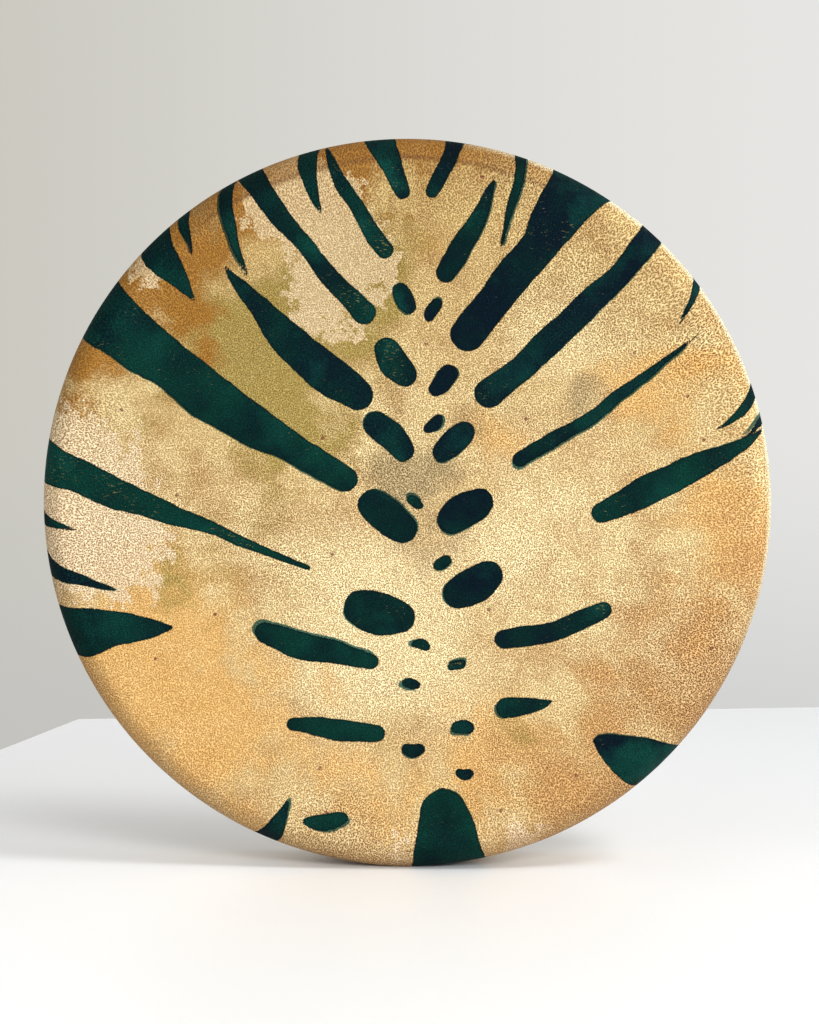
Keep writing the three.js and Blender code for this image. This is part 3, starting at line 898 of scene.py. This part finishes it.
def hide_inside(n, flat, cloud, pits, ink):
    """The flesh side: scraped, a little fibrous, with the painting showing through faintly."""
    scraped = n.noise_flat(n.scaled(flat, (1, 0.14, 1)), 420, detail=5, roughness=0.7)
    fibre = n.noise_flat(n.scaled(flat, (0.25, 1, 1)), 900, detail=3, roughness=0.7)
    bare = n.blend(n.span(cloud, 0.3, 0.7), (0.52, 0.33, 0.135), (0.66, 0.47, 0.23))
    bare = n.blend(n.span(scraped, 0.40, 0.70, 0, 0.6), bare, (0.36, 0.205, 0.075))
    bare = n.blend(n.span(fibre, 0.55, 0.78, 0, 0.6), bare, (0.78, 0.62, 0.37))
    bare = n.blend(n.times(pits, 0.30), bare, (0.25, 0.13, 0.04))
    return n.blend(n.span(ink, -1.5, 2.5, 0, 0.50, smooth=True), bare, (0.20, 0.17, 0.075))


def hide_material():
    n = material_nodes("painted_rawhide")
    flat = n.attribute("flat", "Vector")
    ink = n.attribute("ink")
    rust = n.attribute("rust")
    outside = n.span(n.attribute("outside"), -0.2, 0.2)
    tone, wear, unrolled = n.split(n.attribute("tone_wear", "Vector"))
    down = n.span(unrolled, 1.16, 1.06)  # the face's stains and the rim's painted shade and highlight end a little way down the side
    height, ridge, pits, crests = hide_grain(n, n.attribute("grain", "Vector"))
    ground, cloud, broad = hide_ground(n, flat, rust, down)
    ground, handled_and_shaded = hide_rim(n, ground, flat, unrolled, broad, down)
    grained = grained_ground(n, ground, flat, pits, crests, rust, handled_and_shaded)

    # the paint's edge follows the grain
    jitter = n.times(n.centred(n.noise_flat(flat, 95, detail=4)), 1.6)
    tooth = n.times_plus(n.centred(ridge), 1.3, jitter)
    edge = n.plus(ink, tooth)
    washed = n.plus(n.attribute("wash"), tooth)
    wash = n.tinted(grained, (0.008, 0.150, 0.190))
    front = n.blend(n.span(washed, -0.15, 0.25, 0, 0.95, smooth=True), grained, wash)
    paint = hide_paint(n, flat, edge, tone, wear)
    paint = n.blend(n.times(pits, 0.6), paint, (0.0004, 0.0025, 0.0030))
    lit = n.times(crests, n.span(cloud, 0.4, 0.7, 0.05, 0.35))
    paint = n.blend(lit, paint, (0.0060, 0.0600, 0.0530))
    # Painted shade: the paint is darker along the top of the edge, where it faces up.
    paint = n.blend(n.times(handled_and_shaded, 0.6), paint, (0.0008, 0.0030, 0.0035))
    painted = n.times(n.span(edge, -0.15, 0.15, smooth=True), outside)
    front = n.blend(painted, front, paint)
    colour = n.blend(outside, hide_inside(n, flat, cloud, pits, ink), front)

    bumps = n.bump(height, 0.45 * MM, 0.8)
    bumps = n.bump(broad, 0.8 * MM, 0.35, bumps)
    roughness = n.span(broad, 0.3, 0.7, 0.50, 0.64)
    return n.done(colour, roughness, bumps, Specular_IOR_Level=n.span(painted, 0, 1, 0.24, 0.04))


# ---- The hoop ----

def hoop_section():
    """The hoop's section as (radius, y) points, going round from the inner front corner."""
    outer = RADIUS - SKIN - SKIN_GAP
    inner = outer - HOOP_WALL
    front, back = HOOP_FRONT, HOOP_BACK
    corner, inner_break = 2 * MM, 1 * MM
    points = [(inner + inner_break, front)]
    points += bearing_edge(outer, 8)
    quarter = [math.radians(turn) for turn in (0, 30, 60, 90)]
    points += [(outer - corner * (1 - math.cos(a)), back - corner * (1 - math.sin(a))) for a in quarter]
    points += [(inner + corner * (1 - math.sin(a)), back - corner * (1 - math.cos(a))) for a in quarter]
    wall_start, wall_end = back - corner, front + inner_break
    points += [(inner, wall_start + (wall_end - wall_start) * step / 6) for step in range(1, 6)]
    points.append((inner, front + inner_break))
    return np.array(points), inner, outer


def bearing_edge(outer, steps):
    """The wood's rounded edge, just inside the hide's, as (radius, y) points from the front."""
    return [(outer - inset * 0.93, HOOP_FRONT + drop * 0.97) for inset, drop in shoulder_curve(steps)]


def make_hoop():
    """One board, bent round until its tapered ends overlap in the scarf joint."""
    section, inner, outer = hoop_section()
    edge_radius, edge_y = np.array(bearing_edge(outer, 24)).T
    first = SCARF["centre"] - SCARF["span"] / 2
    steps = 480
    feather = 0.35 * MM  # what is left of the wood at the board's ends
    thinnest_outside, thinnest_inside = 0.1 * MM, 0.2 * MM
    angles = first + np.linspace(0, 2 * math.pi + SCARF["span"], steps + 1)
    rows, board = [], []
    for angle in angles:
        # the board's start is cut away outside, and its end inside
        from_start = (angle - first) / SCARF["span"]
        past_turn = (angle - first - 2 * math.pi) / SCARF["span"]
        high = inner + feather + np.clip(from_start, 0, 1) * HOOP_WALL
        high = high if from_start < 1 else np.inf
        low = inner + feather + np.clip(past_turn, 0, 1) * HOOP_WALL + SCARF["gap"]
        low = low if past_turn > 0 else -np.inf
        low, high = min(low, outer - thinnest_outside), max(high, inner + thinnest_inside)
        radius = np.clip(section[:, 0], low, high)
        y = np.maximum(section[:, 1], np.interp(radius, edge_radius, edge_y))
        rows.append(place(radius, angle, y))
        board += [(angle * inner, y, radius) for radius, y in section]
    faces = tube_faces(len(rows), len(section)) + end_faces(len(rows), len(section))
    piece = new_mesh("bent_hoop", np.concatenate(rows), faces, {"board": np.array(board)})
    corners = piece.modifiers.new("corners", "EDGE_SPLIT")
    corners.split_angle = math.radians(50)
    return finish_piece(piece, wood_material(), "wood", "hoop")


def wood_material():
    n = material_nodes("oiled_board")
    board = n.attribute("board", "Vector")
    stretched = n.scaled(board, (7, 260, 90))
    figure = n.noise(stretched, 1.0, detail=6, roughness=0.6, distortion=0.6)
    fibre = n.noise(n.scaled(board, (45, 2600, 900)), 1.0, detail=3, roughness=0.6)
    broad = n.noise(n.scaled(board, (5, 30, 30)), 1.0, detail=3)
    colour = n.blend(n.span(figure, 0.3, 0.7), (0.52, 0.30, 0.13), (0.33, 0.165, 0.062))
    colour = n.blend(n.span(fibre, 0.52, 0.75, 0, 0.55), colour, (0.17, 0.075, 0.025))
    colour = n.blend(n.span(broad, 0.3, 0.7, 0, 0.35), colour, (0.60, 0.38, 0.18))
    height = n.times_plus(figure, 0.5, fibre)
    bumps = n.bump(height, 0.12 * MM, 0.6)
    return n.done(colour, n.span(figure, 0.3, 0.7, 0.42, 0.58), bumps, Specular_IOR_Level=0.4)


# ---- Tubes along a route ----

def sweep(centres, widths, heights, twist, sides, up):
    """A closed tube with an oval section. Returns its points, its faces and what its material reads."""
    centres = np.asarray(centres, float)
    ahead = np.gradient(centres, axis=0)
    ahead /= np.linalg.norm(ahead, axis=1)[:, None]
    travelled = np.concatenate([[0], np.cumsum(np.linalg.norm(np.diff(centres, axis=0), axis=1))])
    side = np.array(up, float)
    points, own = [], []
    for i, centre in enumerate(centres):
        side = side - ahead[i] * side.dot(ahead[i])
        side /= np.linalg.norm(side)
        other = np.cross(ahead[i], side)
        c, s = math.cos(twist[i]), math.sin(twist[i])
        for k in range(sides):
            angle = 2 * math.pi * k / sides
            across = widths[i] * math.cos(angle)
            lift = heights[i] * math.sin(angle)
            points.append(centre + side * (across * c - lift * s) + other * (across * s + lift * c))
            own.append((travelled[i], LACE_RADIUS * angle, 0))
    faces = tube_faces(len(centres), sides) + end_faces(len(centres), sides)
    return np.array(points), faces, np.array(own)


def rounded(corners, radii, spacing):
    """Points along straight runs whose corners are replaced by bends that start `radii` away."""
    corners = [np.array(c, float) for c in corners]
    line = [corners[0]]
    for before, corner, after, reach in zip(corners, corners[1:], corners[2:], radii[1:]):
        back, on = before - corner, after - corner
        start = corner + back / np.linalg.norm(back) * min(reach, 0.48 * np.linalg.norm(back))
        end = corner + on / np.linalg.norm(on) * min(reach, 0.48 * np.linalg.norm(on))
        for t in np.linspace(0, 1, 6):
            line.append((1 - t) ** 2 * start + 2 * t * (1 - t) * corner + t**2 * end)
    line.append(corners[-1])
    line = np.array(line)
    gaps = np.linalg.norm(np.diff(line, axis=0), axis=1)
    keep = np.concatenate([[True], gaps > 1e-7])
    line = line[keep]
    length = np.concatenate([[0], np.cumsum(np.linalg.norm(np.diff(line, axis=0), axis=1))])
    even = np.linspace(0, length[-1], max(8, int(length[-1] / spacing)))
    return np.stack([np.interp(even, length, line[:, axis]) for axis in range(3)], 1)


# ---- Lace ----
#
# The lacing is worked out in the model's own drum coordinates: the axis is z, with the head at +z.

LACE_GAP = 0.4 * MM
GRIP_DEPTH = -GRIP_Y
STRAND = {
    "run_outside": 0.8 * MM,  # how far outside the hole circle it runs behind the lip
    "run_behind": 3 * MM,
    "dip": 2.8 * MM,  # how deep it goes below the middle of the hide in the hole
    "rise": 0.5 * MM,
    "over_lip": 7.9 * MM,  # from the hole to where it clears the lip's edge
    "above": 0.2 * MM,
}
BUNDLE = {"mouth": 5 * MM, "layer_gap": 0.2 * MM, "bar_gap": 0.5 * MM, "hook_start": 3 * MM}


def polar(radius, angle, depth):
    return np.array([radius * math.cos(angle), radius * math.sin(angle), depth])


def lip_depth(radius, offset):
    """Where a line `offset` out from the lip's head side stands, as (radius, depth)."""
    along = (LIP_TOP - radius) / math.cos(LIP_SLOPE)
    r = LIP_TOP - along * math.cos(LIP_SLOPE) - offset * math.sin(LIP_SLOPE)
    z = -HOOP_BACK - SKIN_GAP + along * math.sin(LIP_SLOPE) - offset * math.cos(LIP_SLOPE)
    return r, z


def strand(angle, side, mouth):
    """Corners from the middle of the run behind the lip, through the hole, to the bundle's mouth."""
    run_radius = HOLE_CIRCLE + STRAND["run_outside"]
    run_depth = lip_depth(run_radius, -STRAND["run_behind"])[1]
    in_radius, in_depth = lip_depth(HOLE_CIRCLE, SKIN / 2 - STRAND["dip"])
    out_radius, out_depth = lip_depth(HOLE_CIRCLE, SKIN / 2 + STRAND["rise"] + LACE_GAP + LACE_RADIUS)
    over = polar(out_radius, angle, out_depth)
    towards = mouth - over
    towards[2] = 0
    towards /= np.linalg.norm(towards)
    lip = over + towards * STRAND["over_lip"]
    lip[2] = GRIP_DEPTH + STRAND["above"]
    return [
        polar(run_radius, angle + side * (HOLE_STEP / 2 - math.radians(0.1)), run_depth),
        polar(run_radius, angle + side * HOLE_STEP * 0.3, run_depth),
        polar(in_radius, angle, in_depth),
        over,
        lip,
        mouth,
    ]


def loop_route(first_hole, across):
    """One loop of lace: in through a hole, round the ring's bar, and out through the next hole.

    across is where it lies on the ring's bar, and first_hole is its first hole's angle.
    """
    layer = LACE_RADIUS + BUNDLE["layer_gap"]
    hook = RING_BAR + BUNDLE["bar_gap"] + LACE_RADIUS
    bar = math.sqrt(RING_RADIUS**2 - across**2)

    def point(x, z):
        return np.array([x, across, GRIP_DEPTH + z])

    turn = []
    for degrees in range(-90, 91, 15):
        angle = math.radians(degrees)
        turn.append(point(bar - hook * math.cos(angle), hook * math.sin(angle)))
    mouth = SLEEVE["end"] + BUNDLE["mouth"]
    lower = strand(first_hole, -1, point(mouth, -layer))
    upper = strand(first_hole + HOLE_STEP, 1, point(mouth, layer))
    hook_start = bar + BUNDLE["hook_start"]
    middle = [point(SLEEVE["start"], -layer), point(hook_start, -hook)]
    middle += turn + [point(hook_start, hook), point(SLEEVE["start"], layer)]
    corners = lower + middle + upper[::-1]
    near_hole = [0, 3 * MM, 2.6 * MM, 2.6 * MM, 4 * MM, 6 * MM]
    radii = near_hole + [3 * MM, 2 * MM] + [1 * MM] * len(turn) + [2 * MM, 3 * MM]
    radii += near_hole[:0:-1] + [0]
    return rounded(corners, radii, 1.3 * MM)


def to_world(points, turn):
    """From the drum's own coordinates, turned about its axis, to the world's."""
    c, s = math.cos(turn), math.sin(turn)
    x = points[:, 0] * c - points[:, 1] * s
    z = points[:, 0] * s + points[:, 1] * c
    return np.stack([x, -points[:, 2], AXIS.z + z], 1)


def make_laces():
    material = lace_material()
    for bundle in range(BUNDLES):
        for i in range(LOOPS_PER_BUNDLE):
            number = bundle * LOOPS_PER_BUNDLE + i + 1
            first_hole = (2 * i + 0.5 - LOOPS_PER_BUNDLE) * HOLE_STEP
            across = (i - (LOOPS_PER_BUNDLE - 1) / 2) * (2 * LACE_RADIUS + LACE_GAP)
            route = loop_route(first_hole, across)
            centres = to_world(route, bundle * math.pi / 2)
            rng = np.random.default_rng(100 + number)
            length = np.linspace(0, 1, len(centres))
            phases = rng.uniform(0, 2 * math.pi, 4)
            uneven = sum(np.sin(length * w * 40 + p) for w, p in zip((1, 1.7, 2.9, 4.3), phases)) / 4
            widths = LACE_RADIUS * (0.97 + 0.06 * uneven)
            heights = LACE_RADIUS * (0.74 + 0.08 * np.roll(uneven, 9))
            twist = 1.2 * np.sin(length * 17 + phases[0]) + length * 9
            points, faces, own = sweep(centres, widths, heights, twist, 12, (0.2, 1, 0.3))
            own[:, 2] = number
            piece = new_mesh(f"lace_{number:02d}", points, faces, {"own": own})
            finish_piece(piece, material, "lace", f"lace_loop_{number:02d}")


def lace_material():
    n = material_nodes("rawhide_lace")
    own = n.attribute("own", "Vector")
    cloud = n.noise(n.scaled(own, (60, 300, 1)), 1.0, detail=4)
    fibre = n.noise(n.scaled(own, (500, 3500, 1)), 1.0, detail=3, roughness=0.65)
    colour = n.blend(n.span(cloud, 0.3, 0.7), (0.66, 0.47, 0.23), (0.50, 0.31, 0.12))
    colour = n.blend(n.span(fibre, 0.5, 0.8, 0, 0.45), colour, (0.34, 0.19, 0.065))
    bumps = n.bump(n.times_plus(cloud, 0.6, fibre), 0.25 * MM, 0.7)
    return n.done(colour, n.span(cloud, 0.3, 0.7, 0.38, 0.56), bumps, Specular_IOR_Level=0.45)


# ---- Grip ----

def make_ring():
    """A brass ring, bent from bar and brazed, so it is a little uneven."""
    around, section = 160, 24
    points, own = [], []
    for i in range(around):
        angle = 2 * math.pi * i / around
        uneven = 1 + 0.02 * math.sin(3 * angle + 1) + 0.012 * math.sin(11 * angle)
        bar = RING_BAR * 0.985 * min(uneven, 1.015)
        for k in range(section):
            turn = 2 * math.pi * k / section
            points.append(place(RING_RADIUS + bar * math.cos(turn), angle, GRIP_Y + bar * math.sin(turn)))
            own.append((angle * RING_RADIUS, turn * RING_BAR, 0))
    faces = tube_faces(around, section, ring=True)
    piece = new_mesh("brass_ring", np.array(points), faces, {"own": np.array(own)})
    return finish_piece(piece, brass_material(), "brass", "grip_ring")


def brass_material():
    n = material_nodes("worn_brass")
    own = n.attribute("own", "Vector")
    tarnish = n.noise(own, 260, detail=6, roughness=0.65)
    scratch = n.noise(n.scaled(own, (2500, 300, 1)), 1.0, detail=2)
    colour = n.blend(n.span(tarnish, 0.35, 0.7), (0.66, 0.44, 0.16), (0.28, 0.16, 0.055))
    rough = n.plus(n.span(tarnish, 0.3, 0.7, 0.22, 0.46), n.times(scratch, 0.12))
    bumps = n.bump(n.plus(tarnish, n.times(scratch, 0.3)), 0.10 * MM, 0.5)
    return n.done(colour, rough, bumps, Metallic=1.0)


def sleeve_surface(along, angle, seed):
    """Radius of the suede at a place along the sleeve and round it, with its creases."""
    crush = math.sin(along * 420 + 3 * math.sin(angle + seed)) * 0.16
    crush += math.sin(along * 950 + 2.2 * math.sin(2 * angle + 1.7 * seed)) * 0.10
    ends = smoothstep(0, 3 * MM, min(along - SLEEVE["start"], SLEEVE["end"] - along))
    return SLEEVE["outer"] - (0.38 - crush) * MM - 0.35 * MM * (1 - ends)


def sleeve_places(rows, columns, radius_at, layer):
    """One surface of a sleeve in the drum's own coordinates, and what its material reads."""
    points, own = [], []
    for i in range(rows):
        along = SLEEVE["start"] + (SLEEVE["end"] - SLEEVE["start"]) * i / (rows - 1)
        for k in range(columns):
            angle = 2 * math.pi * k / columns
            radius = radius_at(along, angle)
            points.append((along, radius * math.cos(angle), GRIP_DEPTH + radius * math.sin(angle)))
            own.append((along, angle * SLEEVE["outer"], layer))
    return points, own


def make_sleeve(bundle, material):
    """Suede wrapped round a bundle of strands, its edges meeting in a seam on the open side."""
    rows, columns = 45, 56

    def outer(along, angle):
        seam = math.exp(-((math.sin(angle / 2 - math.pi * 0.75) / 0.07) ** 2))
        return sleeve_surface(along, angle, bundle * 1.3) - 0.45 * MM * seam

    points, own = sleeve_places(rows, columns, outer, 0)
    inner_points, inner_own = sleeve_places(rows, columns, lambda along, angle: SLEEVE["inner"], 1)
    points += inner_points
    own += inner_own
    inside = rows * columns
    outer_faces = tube_faces(rows, columns)
    faces = outer_faces + [tuple(inside + i for i in face)[::-1] for face in outer_faces]
    last = (rows - 1) * columns
    for k in range(columns):
        beside = (k + 1) % columns
        faces.append((k, inside + k, inside + beside, beside))
        faces.append((last + k, last + beside, inside + last + beside, inside + last + k))
    world = to_world(np.array(points), bundle * math.pi / 2)
    piece = new_mesh(f"suede_sleeve_{bundle + 1}", world, faces, {"own": np.array(own)})
    finish_piece(piece, material, "leather", f"grip_sleeve_{bundle + 1}")


def make_sleeves():
    suede, thread = suede_material(), thread_material()
    for bundle in range(BUNDLES):
        make_sleeve(bundle, suede)
        make_whip_stitch(bundle, thread)


def make_whip_stitch(bundle, material):
    """A waxed thread wound over the seam in slanting stitches."""
    stitches, steps_each, margin = 11, 16, 2.5 * MM
    line = []
    for t in np.linspace(0, 1, stitches * steps_each + 1):
        along = SLEEVE["start"] + margin + t * (SLEEVE["end"] - SLEEVE["start"] - 2 * margin)
        swing = math.sin(t * stitches * 2 * math.pi)
        angle = math.radians(-90) + 0.22 * swing
        radius = sleeve_surface(along, angle, bundle * 1.3) + 0.12 * MM
        line.append((along, radius * math.cos(angle), GRIP_DEPTH + radius * math.sin(angle)))
    centres = to_world(np.array(line), bundle * math.pi / 2)
    size = np.full(len(centres), 0.38 * MM)
    points, faces, own = sweep(centres, size, size, np.zeros(len(centres)), 8, (0.1, 1, 0.2))
    piece = new_mesh(f"seam_thread_{bundle + 1}", points, faces, {"own": own})
    finish_piece(piece, material, "lace")


def suede_material():
    n = material_nodes("brown_suede")
    own = n.attribute("own", "Vector")
    nap = n.noise(own, 2600, detail=3, roughness=0.7)
    patch = n.noise(own, 110, detail=4)
    colour = n.blend(n.span(patch, 0.3, 0.7), (0.090, 0.040, 0.018), (0.170, 0.080, 0.036))
    colour = n.blend(n.span(nap, 0.45, 0.8, 0, 0.6), colour, (0.26, 0.14, 0.07))
    bumps = n.bump(n.times_plus(nap, 0.7, patch), 0.35 * MM, 0.8)
    sheen = {"Sheen_Weight": 0.10, "Sheen_Tint": (0.75, 0.55, 0.40)}
    return n.done(colour, 0.88, bumps, Specular_IOR_Level=0.2, **sheen)


def thread_material():
    n = material_nodes("waxed_thread")
    own = n.attribute("own", "Vector")
    twist = n.noise(n.scaled(own, (1800, 900, 1)), 1.0, detail=2)
    colour = n.blend(n.span(twist, 0.3, 0.7), (0.42, 0.29, 0.15), (0.25, 0.15, 0.07))
    return n.done(colour, 0.6, n.bump(twist, 0.1 * MM, 0.6), Specular_IOR_Level=0.35)


# ---- Scarf pins ----

# A pin's outline in millimetres: radius, and height outwards from the hoop's inner wall. The domed head
# stands inside the hoop, and the shank goes out through the joint.
PIN_OUTLINE = (
    (0, -1.55), (0.9, -1.5), (1.8, -1.25), (2.5, -0.8), (2.95, -0.25), (3.0, 0.0),
    (2.6, 0.12), (1.4, 0.12), (1.4, 11.0), (0, 11.0),
)
PIN_HEAD_POINTS = 6


def make_pin(number, material):
    low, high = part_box(f"scarf_pin_{number}")
    middle = (low + high) / 2
    angle = math.atan2(middle.z - AXIS.z, middle.x)
    seat = RADIUS - SKIN - SKIN_GAP - HOOP_WALL - 0.05 * MM
    sides, rows = 28, len(PIN_OUTLINE)
    points = []
    for i, (radius, height) in enumerate(PIN_OUTLINE):
        for k in range(sides):
            turn = 2 * math.pi * k / sides
            hammered = 1 + 0.03 * math.sin(3 * turn + number) * (i < PIN_HEAD_POINTS)
            across = radius * hammered * math.cos(turn) * MM
            reach = seat + height * MM
            x = reach * math.cos(angle) - across * math.sin(angle)
            z = reach * math.sin(angle) + across * math.cos(angle)
            points.append((x, middle.y + radius * math.sin(turn) * MM, AXIS.z + z))
    faces = tube_faces(rows, sides)[sides:-sides]
    tip, end, last_row = 0, (rows - 1) * sides, (rows - 2) * sides
    for k in range(sides):
        beside = (k + 1) % sides
        faces.append((tip, sides + beside, sides + k))
        faces.append((end, last_row + k, last_row + beside))
    piece = new_mesh(f"clench_pin_{number}", np.array(points), faces)
    finish_piece(piece, material, "copper", f"scarf_pin_{number}")


def make_pins():
    """Domed copper heads inside the hoop, each lightly hammered, on shanks through the joint."""
    material = copper_material()
    for number in range(1, PIN_COUNT + 1):
        make_pin(number, material)


def copper_material():
    n = material_nodes("dull_copper")
    where = n.add("TexCoord").outputs["Object"]
    spots = n.noise(where, 900, detail=4)
    colour = n.blend(n.span(spots, 0.35, 0.7), (0.55, 0.24, 0.11), (0.20, 0.085, 0.045))
    return n.done(colour, n.span(spots, 0.3, 0.7, 0.28, 0.5), n.bump(spots, 0.15 * MM, 0.5), Metallic=1.0)


# ---- Stage, light and camera ----

def make_stage():
    """A white table top with its far left corner in sight. Past its edges is only the pale room."""
    thick = 0.03
    outline = [(-1.14, -4.0), (4.0, -4.0), (4.0, 1.233), (-0.275, 0.571)]
    top = [(x, y, 0) for x, y in outline]
    below = [(x, y, -thick) for x, y in outline]
    sides = [(i, i + 4, (i + 1) % 4 + 4, (i + 1) % 4) for i in range(4)]
    faces = [(0, 1, 2, 3), (7, 6, 5, 4)] + sides
    table = new_mesh("table_top", np.array(top + below), faces, smooth=False)
    n = material_nodes("white_top")
    table.data.materials.append(n.done((0.875, 0.885, 0.89), 0.5, Specular_IOR_Level=0.25))


ROOM = (0.45, 0.45, 0.45)
WALL_LEFT, WALL_RIGHT = (0.560, 0.545, 0.480), (0.800, 0.795, 0.780)
LOW_WALL_LEFT, LOW_WALL_RIGHT = (0.545, 0.540, 0.520), (0.640, 0.645, 0.635)


def make_world():
    """A pale wall behind the drum, dimmer and warmer to the left, in even, neutral surroundings."""
    world = bpy.data.worlds.new("pale_room")
    bpy.context.scene.world = world
    n = Nodes(world)
    x, y, z = n.split(n.add("TexCoord").outputs["Generated"])
    wall = n.blend(n.span(x, -0.30, 0.16, smooth=True), WALL_LEFT, WALL_RIGHT)
    low_wall = n.blend(n.span(x, -0.20, 0.16, smooth=True), LOW_WALL_LEFT, LOW_WALL_RIGHT)
    wall = n.blend(n.span(z, -0.17, -0.02, smooth=True), low_wall, wall)
    room = n.blend(n.span(y, 0.75, 0.95, smooth=True), ROOM, wall)
    n.set(n.tree.nodes["Background"].inputs["Color"], room)


def area_light(name, position, target, size, power):
    light = bpy.data.lights.new(name, "AREA")
    light.shape = "RECTANGLE"
    light.size, light.size_y = size
    light.energy = power
    lamp = bpy.data.objects.new(name, light)
    lamp.location = position
    lamp.rotation_euler = (Vector(target) - Vector(position)).to_track_quat("-Z", "Y").to_euler()
    bpy.context.scene.collection.objects.link(lamp)


def make_lights():
    middle = tuple(AXIS)
    area_light("window", (1.1, -2.1, 1.1), middle, (1.0, 0.9), 40)
    area_light("side", (1.7, -0.15, 0.45), middle, (0.5, 1.2), 8)
    area_light("ceiling", (1.6, -0.8, 2.3), (0, 0, 0), (0.7, 0.7), 32)
    area_light("left_fill", (-1.8, -1.1, 0.7), middle, (1.2, 1.2), 5.5)
    area_light("back_fill", (-0.6, 2.0, 0.35), middle, (1.6, 0.7), 6)


def make_camera():
    """In front of the head, a little above its middle and to its right."""
    azimuth, elevation, distance = math.radians(2.0), math.radians(3.5), 1.5
    level = math.cos(elevation)
    back = Vector((math.sin(azimuth) * level, -math.cos(azimuth) * level, math.sin(elevation)))
    aim = Vector((AXIS.x + 0.0025, FACE_Y, AXIS.z - 0.0030))
    camera_data = bpy.data.cameras.new("camera")
    camera_data.lens = 96.4
    camera = bpy.data.objects.new("camera", camera_data)
    camera.location = aim + back * distance
    camera.rotation_euler = (aim - camera.location).to_track_quat("-Z", "Y").to_euler()
    bpy.context.scene.collection.objects.link(camera)
    bpy.context.scene.camera = camera


make_camera()
make_hide()
make_hoop()
make_laces()
make_ring()
make_sleeves()
make_pins()
make_stage()
make_world()
make_lights()
bpy.context.scene.view_settings.view_transform = "Standard"
